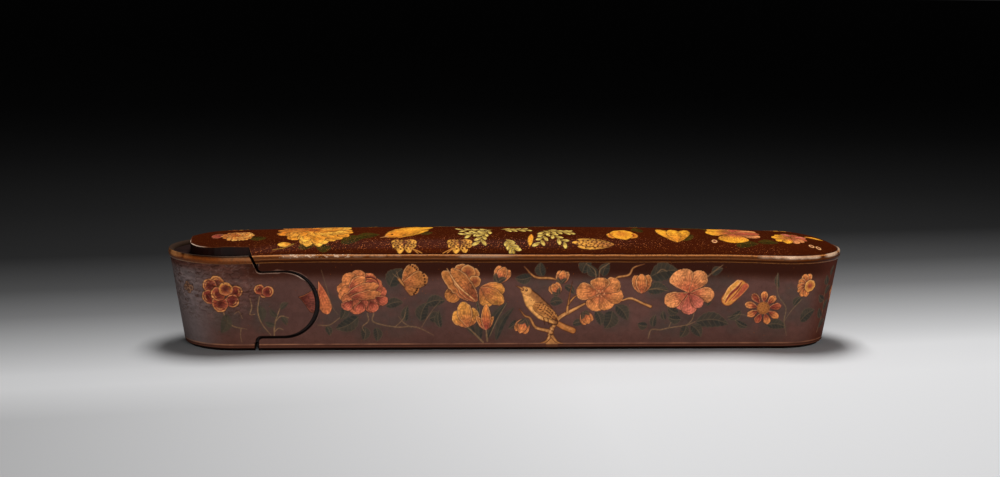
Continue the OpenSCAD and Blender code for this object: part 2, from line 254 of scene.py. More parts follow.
def noise(u, v, cell, seed):
    """Smooth random values from -1 to 1, with hills about one cell wide."""
    table = np.random.default_rng(seed).uniform(-1, 1, (64, 64))
    i, j = np.floor(u / cell), np.floor(v / cell)
    a, b = ease(u / cell - i), ease(v / cell - j)
    i, j = i.astype(int) % 64, j.astype(int) % 64
    ii, jj = (i + 1) % 64, (j + 1) % 64
    return mix(mix(table[i, j], table[ii, j], a), mix(table[i, jj], table[ii, jj], a), b)


class Canvas:
    """The painted face of one skin: places u along and v up or across, with colour, relief, gold and wear."""

    def __init__(self, u, v, ground):
        self.u = u.ravel()
        self.v = v.ravel()
        self.every = np.arange(self.u.size)
        self.rgb = np.tile(ground, (self.u.size, 1))
        self.lift = np.zeros(self.u.size)
        self.gold = np.zeros(self.u.size)
        self.worn = np.zeros(self.u.size)

    def near(self, u, v, reach):
        """The points near a place, and how far along and up they are from it."""
        pick = np.flatnonzero((np.abs(self.u - u) < reach) & (np.abs(self.v - v) < reach))
        return pick, self.u[pick] - u, self.v[pick] - v

    def lay(self, pick, mask, paint, lift=0.0):
        """Lays paint on some of the points, as thickly as the mask says."""
        self.rgb[pick] += (paint - self.rgb[pick]) * mask[:, None]
        self.lift[pick] = np.maximum(self.lift[pick], mask * lift)

    def wash(self, mask, paint, lift=0.0):
        """Lays paint over the whole face."""
        self.lay(self.every, mask, paint, lift)

    def cloud(self, cell, seed, stretch=1):
        """Noise over the whole face, drawn out along u by the stretch."""
        return noise(self.u, self.v * stretch, cell, seed)


PAINT_LIFT = 0.02
SPOT_TURN = 2.4


def turned(degrees):
    """Cosine and sine of an angle in degrees."""
    return math.cos(math.radians(degrees)), math.sin(math.radians(degrees))


def heading(along, up):
    """The direction of a step, in degrees."""
    return math.degrees(math.atan2(up, along))


def around(u, v, r, angle, flat=1.0):
    """The place at the distance r from (u, v), at an angle in radians."""
    return u + r * math.cos(angle), v + r * flat * math.sin(angle)


def own_frame(u, v, size, turn=0, flat=1.0, flip=1):
    """Places in a motif's own frame, in shares of its size along and up from its middle."""
    c, s = turned(turn)

    def at(along, up):
        return u + size * (flip * along * c - up * s), v + size * flat * (flip * along * s + up * c)
    return at


def petal(canvas, u, v, turn, length, width, deep, pale, rim, flat=1.0, full=1.5):
    """One petal from its root at (u, v): deep there, pale further out, with fine lines and a light rim."""
    pick, along, up = canvas.near(u, v, length * 1.15)
    if not pick.size:
        return
    up = up / flat
    c, s = turned(turn)
    a = (along * c + up * s) / length
    b = up * c - along * s
    t = np.clip(a, 0, 1)
    ragged = 1 + 0.1 * noise(along + u * 7, up + v * 5, width * 0.25, 11)
    half = width / 2 * np.sin(math.pi * t ** full) ** 0.55 * ragged
    inside = np.where((a > 0) & (a < 1), half - np.abs(b), -1)
    side = np.clip(b / np.maximum(half, 0.1), -1, 1)
    canvas.lay(pick, 0.9 * ease((inside + 0.36) / 0.3), mix(UMBER, deep, 0.2))
    paint = mix(deep, pale, ease(t * 1.3)[:, None])
    fan = np.abs((side * max(width, 2.4) * 0.6 + 0.35 * noise(along, up, 1.3, 5)) % 1 - 0.5)
    lines = (1 - ease(fan / 0.26)) * ease((1.15 - t) / 0.8)
    paint = mix(paint, mix(deep, UMBER, 0.3), (0.68 * lines)[:, None])
    mottle = 0.03 + 0.2 * noise(along, up, 0.45, 7) + 0.14 * noise(along, up, 1.4, 9)
    mottle = mottle - 0.2 * np.clip(-side, 0, 1)
    paint = np.clip(paint * (1 + mottle)[:, None], 0, 1)
    facing = np.sign(side) * (0.5 * s + 0.85 * c) * (1 - t) + (0.85 * s - 0.5 * c) * t
    edge = (1 - ease(inside / 0.34)) * (0.3 + 0.6 * ease(0.5 + 0.7 * facing))
    canvas.lay(pick, ease(inside / 0.2 + 0.5), mix(paint, rim, edge[:, None]), PAINT_LIFT)


def petals(canvas, u, v, shapes, deep, pale, rim, full, flat=1):
    """Petals from one root, each with its turn, length and width, and its own pale tone where it has one."""
    for turn, length, width, *own in shapes:
        petal(canvas, u, v, turn, length, width, deep, own[0] if own else pale, rim, flat, full)


def leaf(canvas, u, v, turn, length, width, green=PINE, vein=OLIVE, outline=0.8):
    """A leaf from its root at (u, v), one half lighter, with a midrib, side veins and a thin pale outline."""
    pick, along, up = canvas.near(u, v, length * 1.1)
    if not pick.size:
        return
    c, s = turned(turn)
    a = (along * c + up * s) / length
    t = np.clip(a, 0, 1)
    b = up * c - along * s - 0.1 * length * np.sin(math.pi * t)
    half = width / 2 * np.sin(math.pi * t ** 0.8) ** 0.75 * (1 + 0.05 * np.sin(t * 40))
    inside = np.where((a > 0) & (a < 1), half - np.abs(b), -1)
    paint = mix(green, vein, (0.2 * (b > 0) + 0.12 * noise(along, up, 1.5, 3))[:, None])
    rib = 1 - ease(np.abs(b) / 0.22)
    comb = np.abs((t * 6 - np.abs(b) / max(width, 0.5) * 2.2) % 1 - 0.5)
    side_vein = (1 - ease((0.5 - comb) / 0.14)) * 0.5
    edge = (1 - ease(inside / 0.3)) * np.where(b > 0, 1, 0.6)
    paint = mix(paint, vein, (outline * np.maximum(np.maximum(rib, side_vein), edge))[:, None])
    canvas.lay(pick, 0.85 * ease(inside / 0.25 + 0.5), paint, PAINT_LIFT / 2)


def leaves(canvas, shapes, **tones):
    """Leaves, each with its root, turn, length and width."""
    for u, v, turn, length, width in shapes:
        leaf(canvas, u, v, turn, length, width, **tones)


def smooth_path(points, per_span=8):
    """A smooth curve through the points."""
    p = np.array(points, float)
    p = np.vstack([2 * p[0] - p[1], p, 2 * p[-1] - p[-2]])
    t = np.linspace(0, 1, per_span, endpoint=False)[:, None]
    spans = []
    for k in range(1, len(p) - 2):
        a, b, c, d = p[k - 1], p[k], p[k + 1], p[k + 2]
        spans.append(b + 0.5 * t * (c - a + t * (2 * a - 5 * b + 4 * c - d + t * (3 * b - a - 3 * c + d))))
    return np.vstack([*spans, p[-2:-1]])


def brush(canvas, points, widths, paint, edge=None, strength=1.0, lift=PAINT_LIFT / 2):
    """A brush stroke through the points, whose width follows the given widths along it."""
    path = smooth_path(points)
    radii = np.interp(np.linspace(0, 1, len(path)), np.linspace(0, 1, len(widths)), widths) / 2
    low, high = path.min(0) - radii.max() - 0.5, path.max(0) + radii.max() + 0.5
    u, v = canvas.u, canvas.v
    pick = np.flatnonzero((u > low[0]) & (u < high[0]) & (v > low[1]) & (v < high[1]))
    if not pick.size:
        return
    here = np.stack([u[pick], v[pick]], 1)
    inside = np.full(pick.size, -9.0)
    for k in range(len(path) - 1):
        step = path[k + 1] - path[k]
        t = np.clip((here - path[k]) @ step / max(step @ step, 1e-9), 0, 1)
        away = np.linalg.norm(here - path[k] - t[:, None] * step, axis=1)
        inside = np.maximum(inside, mix(radii[k], radii[k + 1], t) - away)
    tone = paint + np.zeros((pick.size, 3))
    if edge is not None:
        tone = mix(tone, edge, (1 - ease(inside / 0.45))[:, None])
    tone = tone * (1 + 0.14 * noise(here[:, 0], here[:, 1], 0.6, 17))[:, None]
    canvas.lay(pick, strength * ease(inside / 0.18 + 0.5), tone, lift)


def strokes(canvas, paths, paint=STEM, edge=None, strength=1.0):
    """Brush strokes in one paint, each with its points and its widths along them."""
    for points, widths in paths:
        brush(canvas, points, widths, paint, edge, strength)


def arc(canvas, u, v, r, start, sweep, widths, paint, flat=1.0):
    """A brush stroke along part of a circle."""
    turns = np.radians(start + sweep * np.linspace(0, 1, 6))
    brush(canvas, [around(u, v, r, a, flat) for a in turns], widths, paint)


def dots(canvas, places, size, paint, strength=1.0):
    for u, v in places:
        pick, along, up = canvas.near(u, v, size)
        canvas.lay(pick, strength * ease((size / 2 - np.hypot(along, up)) / 0.2 + 0.5), paint, PAINT_LIFT)


def spotted(canvas, u, v, reach, rise, count, size, paint, strength=1.0):
    """Spots spread evenly over an oval."""
    places = []
    for k in range(count):
        share = math.sqrt((k + 0.5) / count)
        c, s = math.cos(SPOT_TURN * k), math.sin(SPOT_TURN * k)
        places.append((u + reach * share * c, v + rise * share * s))
    dots(canvas, places, size, paint, strength)


def light_from_left(canvas, u, v, size, flat=1.0):
    """Shades a whole flower, so that it swells towards the upper left."""
    pick, along, up = canvas.near(u, v, size)
    up = up / flat
    reach = np.hypot(along, up) / size
    shade = 1 + 0.2 * ease(1 - reach) * np.clip((up - along) / size, -1, 1)
    painted = canvas.lift[pick] > PAINT_LIFT * 0.6
    lit = np.clip(canvas.rgb[pick] * shade[:, None], 0, 1)
    canvas.rgb[pick] = np.where(painted[:, None], lit, canvas.rgb[pick])


def rose(canvas, u, v, size, turn=0, flat=0.86, deep=CRIMSON, mid=ROSE, pale=PEACH, rim=CREAM):
    """A rose seen a little from the side: rings of petals, a cup with a dark swirl, and broad petals."""
    at = own_frame(u, v, size, turn, flat)
    for ring, (count, reach) in enumerate(((11, 1.0), (9, 0.82))):
        for k in range(count):
            angle = 360 * k / count + 17 * ring + 6 * math.sin(3 * k + ring)
            long = size * reach * (1 + 0.08 * math.sin(5 * k + 2 * ring))
            lit = 0.5 + 0.5 * math.sin(math.radians(angle - 50))
            tones = deep, mix(mid, pale, lit), mix(pale, rim, 0.5)
            petal(canvas, u, v, turn + angle, long, size * 0.6, *tones, flat, 1.9)
    cup = at(0.32, 0.3)
    dots(canvas, [cup], size * 0.78, mix(deep, mid, 0.6))
    dark, light = mix(deep, UMBER, 0.5), mix(mid, pale, 0.7)
    for k in range(4):
        start = turn + 70 * k
        arc(canvas, *cup, size * (0.38 - 0.08 * k), start, 230, [0.15, 0.55, 0.2], dark, flat)
        arc(canvas, *cup, size * (0.33 - 0.08 * k), start + 20, 150, [0.1, 0.5, 0.1], light, flat)
    folds = ((-0.5, 0.2, 38, 0.8, 0.46), (-0.52, -0.02, 16, 1.25, 0.5), (-0.42, -0.24, 8, 1.2, 0.44))
    for along, up, lean, long, wide in folds:
        tones = mix(deep, mid, 0.5), pale, rim
        petal(canvas, *at(along, up), turn + lean, size * long, size * wide, *tones, flat, 1.3)
    for along, up, lean in ((-0.35, -0.36, -128), (-0.02, -0.4, -98), (0.32, -0.38, -66), (0.55, -0.2, -35)):
        petal(canvas, *at(along, up), turn + lean, size * 0.56, size * 0.46, deep, mid, rim, flat, 1.8)
    light_from_left(canvas, u, v, size, flat)


def full_rose(canvas, u, v, size, turn=0, flat=1.0, deep=CRIMSON, mid=ROSE, pale=PEACH, rim=CREAM):
    """A rose seen from above: rings of many small frilled petals, redder at the back on the left."""
    rings = ((27, 1.0), (24, 0.87), (21, 0.74), (17, 0.6), (12, 0.45), (7, 0.3))
    for ring, (count, reach) in enumerate(rings):
        for k in range(count):
            angle = turn + 360 * k / count + 23 * ring + 5 * math.sin(3 * k + ring)
            long = size * reach * (1 + 0.05 * math.sin(5 * k + 2 * ring))
            lit = 0.5 + 0.5 * math.sin(math.radians(angle * 3 + 80 * ring))
            red = 0.5 * max(math.cos(math.radians(angle - 150)), 0) + 0.03 * ring
            tone = mix(mix(mid, pale, lit), deep, red)
            petal(canvas, u, v, angle, long, size * 0.3, deep, tone, mix(rim, deep, 0.5 * red), flat, 2.6)
    arc(canvas, u, v, size * 0.16, 40, 260, [0.2, 0.5, 0.2], deep, flat)


def open_flower(canvas, u, v, size, turn=0, count=6, flat=0.9, deep=MADDER, pale=PEACH, rim=CREAM,
                heart=STRAW):
    """An open flower with broad round petals and a small heart of stamens."""
    for k in range(count):
        angle = turn + 360 * k / count + 7 * math.sin(4 * k)
        long = size * (1 + 0.1 * math.sin(3 * k + 1))
        petal(canvas, u, v, angle, long, size * 5.2 / count, deep, pale, rim, flat, 1.9)
    dots(canvas, [(u, v)], size * 0.26, mix(heart, deep, 0.4))
    ring = [around(u, v, size * 0.2, k * 0.9, flat) for k in range(7)]
    dots(canvas, ring, 0.45, mix(heart, CREAM, 0.5))
    light_from_left(canvas, u, v, size, flat)


def scallop(canvas, u, v, size, deep=CRIMSON, pale=MADDER, rim=CREAM):
    """A small round lobe with a pale edge, fine rays and a dark heart."""
    pick, along, up = canvas.near(u, v, size * 1.3)
    angle = np.arctan2(up, along)
    wavy = 1 + 0.03 * np.sin(3 * angle + 7 * u) + 0.03 * np.sin(7 * angle + 3 * v)
    reach = np.hypot(along, up) / size * wavy
    rays = 0.5 + 0.5 * np.sin(15 * angle + 2 * noise(along, up, 1, 5))
    paint = mix(deep, pale, ease(reach * 1.2)[:, None])
    paint = mix(paint, mix(deep, UMBER, 0.4), (0.6 * rays * (1.1 - reach))[:, None])
    paint = paint * (1 + 0.13 * noise(along, up, 0.5, 7))[:, None]
    edge = ease((reach - 1) * size / 0.5 + 1) * (0.3 + 0.6 * ease(0.5 + 0.6 * (up - 0.4 * along) / size))
    paint = mix(paint, rim, np.clip(edge, 0, 1)[:, None])
    canvas.lay(pick, 0.75 * ease((1 - reach) * size / 0.3 + 1.1), UMBER)
    canvas.lay(pick, ease((1 - reach) * size / 0.2 + 0.5), np.clip(paint, 0, 1), PAINT_LIFT)


def daisy(canvas, u, v, size, turn=0, count=10, deep=MADDER, pale=PEACH, heart=STRAW):
    """A daisy of narrow, separate petals round a dotted disc."""
    for k in range(count):
        angle = math.radians(turn + 360 * k / count)
        root = around(u, v, size * 0.34, angle)
        long = size * (0.68 + 0.06 * math.sin(5 * k))
        tip = pale if k % 3 else mix(pale, deep, 0.6)
        petal(canvas, *root, math.degrees(angle), long, size * 0.4, deep, tip, CREAM, 1, 1.5)
    dots(canvas, [(u, v)], size * 0.74, mix(heart, SEPIA, 0.3))
    dots(canvas, [(u - 0.2, v + 0.2)], size * 0.56, heart, 0.8)
    spotted(canvas, u, v, size * 0.32, size * 0.32, 14, 0.4, mix(heart, SEPIA, 0.6), 0.8)


def bud(canvas, u, v, size, turn=90, deep=MADDER, pale=PEACH):
    """A closed bud: three petals in a leafy cup, pointing along turn."""
    root = around(u, v, -size * 0.5, math.radians(turn))
    for spread in (-20, 20, 0):
        petal(canvas, *root, turn + spread, size * 1.05, size * 0.62, deep, pale, CREAM, 1, 1.1)
    for spread in (-38, 38):
        leaf(canvas, *root, turn + spread, size * 0.62, size * 0.36)


def tulip(canvas, u, v, size, turn=60, deep=MADDER, pale=STRAW):
    """A long closed flower with streaked petals, rolled round at both ends."""
    at = own_frame(u, v, size, turn)
    body, shade, streak = mix(pale, deep, 0.15), mix(deep, UMBER, 0.5), mix(deep, CRIMSON, 0.6)
    wide = [size * share for share in (0.42, 0.48, 0.44)]
    brush(canvas, [at(-0.28, 0), at(0, 0), at(0.28, 0)], wide, body, shade, 1, PAINT_LIFT)
    wide = [size * share for share in (0.06, 0.14, 0.2)]
    brush(canvas, [at(-0.2, -0.12), at(0.1, -0.16), at(0.4, -0.13)], wide, mix(deep, ROSE, 0.7), PEACH)
    wide = [size * share for share in (0.08, 0.16, 0.14)]
    brush(canvas, [at(-0.32, 0.1), at(0, 0.16), at(0.34, 0.13)], wide, pale, CREAM)
    brush(canvas, [at(-0.4, 0), at(-0.1, 0.05), at(0.2, 0.02), at(0.42, 0.05)], [0.3, 0.8, 0.7, 0.3], streak)
    brush(canvas, [at(-0.3, -0.06), at(0, -0.07), at(0.36, -0.03)], [0.15, 0.4, 0.2], streak)


def sprig(canvas, points, count, size, green=PINE, vein=OLIVE, tip=True):
    """A thin stem through the points with leaves on both its sides."""
    brush(canvas, points, [0.45, 0.35, 0.25], STEM, None, 0.7)
    path = smooth_path(points)
    for k in range(count):
        spot = int((k + 0.7) / (count + 0.4) * (len(path) - 2))
        turn = heading(*(path[spot + 1] - path[spot])) + (48 if k % 2 else -48)
        leaf(canvas, *path[spot], turn, size * (1 - 0.25 * k / max(count, 1)), size * 0.55, green, vein)
    if tip:
        leaf(canvas, *path[-1], heading(*(path[-1] - path[-3])), size * 0.8, size * 0.45, green, vein)


def butterfly(canvas, u, v, size, turn=75, wing=TAN, mark=SEPIA):
    """A butterfly seen from the side: three wings with dotted edges, a body and feelers."""
    for spread, long, wide in ((-44, 0.72, 0.5), (34, 0.86, 0.56), (-6, 1.0, 0.62)):
        angle = turn + spread
        petal(canvas, u, v, angle, size * long, size * wide, mix(wing, MADDER, 0.35), wing, CREAM, 1, 1.7)
        a = math.radians(angle)
        edge = [around(u, v, size * long * 0.88, a + w) for w in np.linspace(-0.26, 0.26, 5)]
        marks = ((0.7, -0.2), (0.68, 0.18), (0.5, -0.05), (0.55, 0.28), (0.35, 0.1))
        dots(canvas, edge, size * 0.07, UMBER)
        dots(canvas, [around(u, v, size * long * r, a + w) for r, w in marks], size * 0.045, mark, 0.6)
    a = math.radians(turn + 110)
    face = around(u, v, 0.2 * size, a)
    brush(canvas, [around(u, v, -0.2 * size, a), (u, v), face], [0.5, 1.2, 1.1], BARK, mark)
    for spread in (-0.35, 0.25):
        brush(canvas, [face, around(*face, 0.3 * size, a + spread)], [0.25, 0.15], STEM)


def bird(canvas, u, v, size, facing=-1, breast=mix(STRAW, CREAM, 0.4), back=BARK):
    """A perched bird: head up, tail down behind it. facing is -1 when it looks towards the head's end."""
    at = own_frame(u, v, size, flip=-facing)
    wide = size / 14

    def plumage(places, widths, *tones):
        brush(canvas, [at(*place) for place in places], [width * wide for width in widths], *tones)

    plumage([(0.34, -0.3), (0.6, -0.45), (0.84, -0.55)], [1.8, 2.3, 2.3], TAN, SEPIA)
    brush(canvas, [at(0.42, -0.33), at(0.8, -0.52)], [0.3, 0.5], mix(TAN, CREAM, 0.4), None, 0.7)
    plumage([(-0.31, 0.42), (-0.13, 0.19), (0.14, -0.09), (0.4, -0.34)], [3.3, 5.4, 5.9, 2.2],
            mix(SEPIA, breast, 0.3), UMBER)
    plumage([(-0.33, 0.41), (-0.19, 0.14), (0.06, -0.14), (0.36, -0.34)], [2.6, 4.0, 3.6, 1.2],
            breast, mix(breast, SEPIA, 0.4))
    plumage([(-0.27, 0.43), (-0.04, 0.22), (0.2, -0.04), (0.4, -0.32)], [1.6, 2.2, 2.3, 1.5],
            mix(back, SEPIA, 0.3), None, 0.8)
    wing = mix(TAN, breast, 0.2), mix(TAN, breast, 0.5), breast
    petal(canvas, *at(-0.14, 0.1), heading(-facing * 0.56, -0.33), size * 0.7, size * 0.26, *wing, 1, 0.8)
    for k in range(8):
        rows = [at(-0.02 + 0.06 * k + 0.03 * row, 0.02 - 0.045 * k + 0.055 * row) for row in range(3)]
        dots(canvas, rows, 0.5, SEPIA, 0.85)
    for row in range(3):
        quill = [at(0.12 + 0.05 * row, -0.1 + 0.06 * row), at(0.46, -0.33 + 0.02 * row)]
        brush(canvas, quill, [0.2, 0.35], SEPIA, None, 0.8)
    specks = [at(-0.24 + 0.05 * k, 0.3 - 0.055 * k - 0.05 * (k % 2)) for k in range(7)]
    dots(canvas, specks, 0.4, SEPIA, 0.5)
    plumage([(-0.36, 0.45), (-0.28, 0.42)], [2.6, 2.9], mix(breast, back, 0.3), mix(breast, SEPIA, 0.5))
    brush(canvas, [at(-0.4, 0.47), at(-0.5, 0.53), at(-0.58, 0.56)], [1.1, 0.7, 0.15], BARK, SEPIA)
    dots(canvas, [at(-0.31, 0.45)], 0.9, UMBER)
    dots(canvas, [at(-0.315, 0.46)], 0.35, CREAM)
    for foot in (0.12, 0.22):
        brush(canvas, [at(foot, -0.24), at(foot + 0.03, -0.4)], [0.4, 0.3], SEPIA)


def iris(canvas, u, v, size):
    """A tall bearded flower: two long folded petals, a pale fold between them, and round lobes beside."""
    at = own_frame(u, v, size)
    deep = mix(CRIMSON, TAN, 0.45)
    petal(canvas, *at(-0.02, 0.0), 232, size * 0.56, size * 0.44, deep, TAN, CREAM, 1, 1.6)
    for along, up, wide in ((0.02, 0.42, 0.21), (0.34, 0.33, 0.19), (0.2, 0.38, 0.21), (0.4, 0.12, 0.17)):
        scallop(canvas, *at(along, up), size * wide, deep, mix(TAN, PEACH, 0.3))
    petal(canvas, *at(0.42, -0.42), 139, size * 1.26, size * 0.5, deep, TAN, CREAM, 1, 0.95)
    petal(canvas, *at(0.46, -0.46), 127, size * 1.2, size * 0.46, deep, mix(TAN, PEACH, 0.4), CREAM, 1, 0.95)
    brush(canvas, [at(-0.38, 0.48), at(-0.06, -0.02), at(0.42, -0.44)], [0.3, 0.9, 0.3], SEPIA, None, 0.8)
    brush(canvas, [at(-0.4, 0.5), at(-0.08, 0.0), at(0.42, -0.44)], [0.2, 0.55, 0.25], mix(CREAM, TAN, 0.3))
    for k in range(6):
        hair = [at(-0.3 + 0.1 * k, 0.34 - 0.13 * k), at(-0.16 + 0.1 * k, 0.36 - 0.12 * k)]
        brush(canvas, hair, [0.25, 0.15], SEPIA, None, 0.5)


# Paintings. Each lists its motifs from back to front, in millimetres.
BAND_TOP = 2.2
SHADED_FOOT = 1.5
FOOT_DARK_LINE_Z = 1.75
GILT_LINE_Z = 2.3
HEAD_FLOWER = (-98.4, 20.6)
HEAD_PAIR = (-84.8, 20.6)
BLOSSOM = (30.4, 19.8)
PINK_FLOWER = (61.1, 19.9)


def border_lines(canvas):
    """The brown band along the walls' foot, with a thin gilt line over it, a dark line, and painted shade at
    the bevel.
    """
    canvas.wash(0.8 * ease((BAND_TOP - canvas.v) / 0.3), FOOT_BROWN)
    # Painted shade: near black at the bevel, the wall's lowest part
    canvas.wash(0.95 * ease((SHADED_FOOT - canvas.v) / 0.7), PAINTED_SHADE_BLACK)
    canvas.wash(0.6 * ease((0.16 - np.abs(canvas.v - FOOT_DARK_LINE_Z)) / 0.14 + 0.5), UMBER)
    line = ease((0.18 - np.abs(canvas.v - GILT_LINE_Z)) / 0.14 + 0.5) * (0.5 + 0.3 * canvas.cloud(3, 23))
    canvas.wash(line, GILT, 0.03)
    canvas.gold = np.maximum(canvas.gold, 0.6 * line)


def ground_tone(canvas, seed):
    """Uneven varnish, old brush marks along the box and a few faint specks."""
    cloud = 0.07 * canvas.cloud(14, seed) + 0.04 * canvas.cloud(4, seed + 1)
    marks = 0.035 * canvas.cloud(9, seed + 2, 7)
    canvas.rgb *= (1 + cloud + marks)[:, None]
    canvas.wash(0.12 * ease((canvas.cloud(0.55, seed + 3) - 0.9) / 0.08), TAN)


def shade_wall(canvas):
    """The wall's ground: dark under the bead, warm at the foot, brown at the right, and greyed at the left by
    a painted reflection.
    """
    canvas.wash(0.4 * ease((12 - canvas.v) / 10), WARM_BROWN)
    on_sleeve = 0.3 + 0.62 * ease((canvas.u + 94) / 8)
    canvas.wash(on_sleeve * ease((canvas.v - 23.5) / 4.5), UNDER_RIM)
    canvas.wash(0.7 * ease((canvas.u - 102) / 12), END_BROWN)
    # Painted reflection: a grey sheen over the left end
    canvas.wash(0.8 * ease((-96 - canvas.u) / 16) * ease((30 - canvas.v) / 3), PAINTED_SHEEN_GREY)


def haze(canvas, places, strength=0.4):
    """Soft smoky green round the leaves, under the motifs."""
    for u, v, reach in places:
        pick, along, up = canvas.near(u, v, reach)
        away = np.hypot(along, up) / reach + 0.3 * noise(along, up, 2.4, 41)
        canvas.lay(pick, strength * ease(1.2 - 1.2 * away), SMOKE)


def end_spray(canvas):
    """A small flower on a leafy stem up the middle of the left end; each wall shows half of it."""
    sprig(canvas, [(-S_TIP, 4), (-S_TIP, 9), (-S_TIP, 14)], 4, 3.2, MOSS, tip=False)
    open_flower(canvas, -S_TIP, 17.5, 3.2, 30, 6, 1, CRIMSON, MADDER, TAN)


def head_sprays(canvas):
    """The drawer head's flower and pair of small ones, on thin stems."""
    strokes(canvas, [([(-98.3, 14.4), (-97.4, 11.5), (-95, 8.9), (-90.3, 7.8)], [0.5, 0.45, 0.4, 0.2]),
                     ([(-89.2, 18.6), (-88.6, 15.6), (-89.2, 13), (-87.6, 13)], [0.2, 0.4, 0.35, 0.2])])
    strokes(canvas, [([(-92.4, 7.8), (-92.6, 5.5), (-92.2, 3.2)], [0.35, 0.3, 0.2]),
                     ([(-94.6, 13.2), (-93, 14), (-91.8, 11.6)], [0.2, 0.35, 0.2])], strength=0.8)
    leaves(canvas, [(-97, 13, 250, 7, 4), (-86, 16, 275, 6, 3)], green=MOSS, outline=0.2)
    strokes(canvas, [([(-86, 19.2), (-86.6, 14), (-85.2, 9.6), (-82.2, 5.6)], [0.3, 0.4, 0.35, 0.2]),
                     ([(-81.1, 4.6), (-81, 8.6), (-80.2, 12), (-78.4, 16.8)], [0.4, 0.45, 0.4, 0.2]),
                     ([(-80.7, 10.4), (-78.8, 12.2), (-76.2, 11.6)], [0.3, 0.4, 0.2]),
                     ([(-81, 6.8), (-79.6, 8), (-78, 7.4)], [0.3, 0.3, 0.2])])
    for u, v, turn in ((-80.2, 12, 130), (-79, 14.6, 40), (-81, 9, 160), (-78.6, 12, 300)):
        leaf(canvas, u, v, turn, 3.6, 2, MOSS, OLIVE, 0.4)
    # Small lobes at the left end, in tones mixed with the grey of the painted reflection there
    for u, v in ((-111.4, 22.6), (-109.8, 21.6), (-111, 20.6), (-112.4, 21.4)):
        scallop(canvas, u, v, 1, mix(SEPIA, PAINTED_SHEEN_GREY, 0.4), mix(TAN, PAINTED_SHEEN_GREY, 0.6), mix(TAN, PAINTED_SHEEN_GREY, 0.4))
    dusk = mix(CRIMSON, UMBER, 0.35)
    flower = ((-99.8, 24.2, 2.3, TAN), (-102.2, 22.8, 2.5, ROSE), (-103, 19, 2.4, MADDER),
              (-93.8, 21, 2.1, ROSE), (-95, 17.8, 2.2, MADDER), (-99.2, 16.6, 2.7, ROSE),
              (-99.6, 20.2, 2.4, ROSE))
    pair = ((-84.6, 20, 1.2, MADDER), (-86, 21.6, 1.7, ROSE), (-83.2, 20.8, 1.9, MADDER))
    for middle, lobes in ((HEAD_FLOWER, flower), (HEAD_PAIR, pair)):
        for u, v, size, tone in lobes:
            scallop(canvas, u, v, size, dusk, mix(tone, dusk, 0.3), mix(CREAM, PEACH, 0.5))
            away = heading(u - middle[0], v - middle[1])
            for inset, sweep, wide in ((0.2, 150, 0.55), (1, 90, 0.35)):
                line = mix(TAN, CREAM, 0.35)
                arc(canvas, u, v, size - inset, away - sweep / 2, sweep, [0.15, wide, 0.15], line)
    end_spray(canvas)
    scallop(canvas, -97, 22, 2.3, dusk, mix(TAN, MADDER, 0.4), mix(CREAM, PEACH, 0.4))
    arc(canvas, -97, 22, 1.9, -30, 250, [0.2, 0.6, 0.2], mix(STRAW, TAN, 0.3))
    tones = mix(CRIMSON, UMBER, 0.5), mix(MADDER, AUBERGINE, 0.5), PEACH
    petal(canvas, -73, 18.8, -14, 7.6, 9, *tones, 1, 2.6)


def rose_group(canvas):
    """A long petal beside the notch, the rose with its stems, and a butterfly."""
    petal(canvas, -66.2, 24.2, -74, 11.8, 4.2, ROSE, mix(ROSE, PEACH, 0.5), CREAM, 1, 1.9)
    rib = [(-65.2, 28), (-63.4, 22), (-61.8, 16), (-59.6, 12.6)]
    brush(canvas, rib, [0.2, 0.3, 0.3, 0.2], OLIVE, None, 0.6)
    brush(canvas, [(-66.3, 9), (-62.5, 9), (-58.8, 11.6)], [0.3, 0.4, 0.3], STEM, None, 0.8)
    leaves(canvas, [(-52.6, 11.8, 208, 8.8, 5), (-50.4, 8.2, 265, 4.6, 3.4), (-46.6, 8, 275, 4.8, 3.2),
                    (-63.4, 8.6, 290, 3.6, 2.4), (-42, 22.4, 55, 7.4, 5.6), (-43.2, 15.6, 12, 6, 3.6),
                    (-36.6, 10.2, 82, 5.6, 2.8), (-31.4, 10.4, 70, 6.8, 4.6), (-29.4, 16.4, 8, 6.4, 4.2),
                    (-28.4, 11, 10, 4.4, 3.8), (-24.6, 8, 95, 6, 2.6), (-57, 15.4, 250, 4.8, 3)])
    runner = [(-47.4, 13), (-47.4, 10), (-40.2, 8.3), (-33, 8.2), (-27, 5.4)]
    strokes(canvas, [([(-49.6, 13), (-49.2, 10.4), (-51.2, 8.4), (-50.4, 6.4)], [0.4, 0.4, 0.35, 0.2]),
                     (runner, [0.45, 0.45, 0.45, 0.4, 0.2]),
                     ([(-40, 8.3), (-37.4, 11), (-36.4, 13.6)], [0.35, 0.3, 0.2]),
                     ([(-39, 12), (-37, 9.6), (-34.6, 8.2)], [0.2, 0.35, 0.3])], strength=0.8)
    shoot = [(-31, 8.2), (-29, 11.6), (-27, 14.6), (-24.6, 17.4)]
    brush(canvas, shoot, [0.35, 0.35, 0.3, 0.2], STEM, None, 0.6)
    tones = mix(CRIMSON, UMBER, 0.3), mix(ROSE, BLUSH, 0.4), mix(PEACH, BLUSH, 0.1)
    rose(canvas, -51.6, 20.4, 8.6, 0, 0.86, *tones)
    butterfly(canvas, -37.9, 23.6, 9, 16)


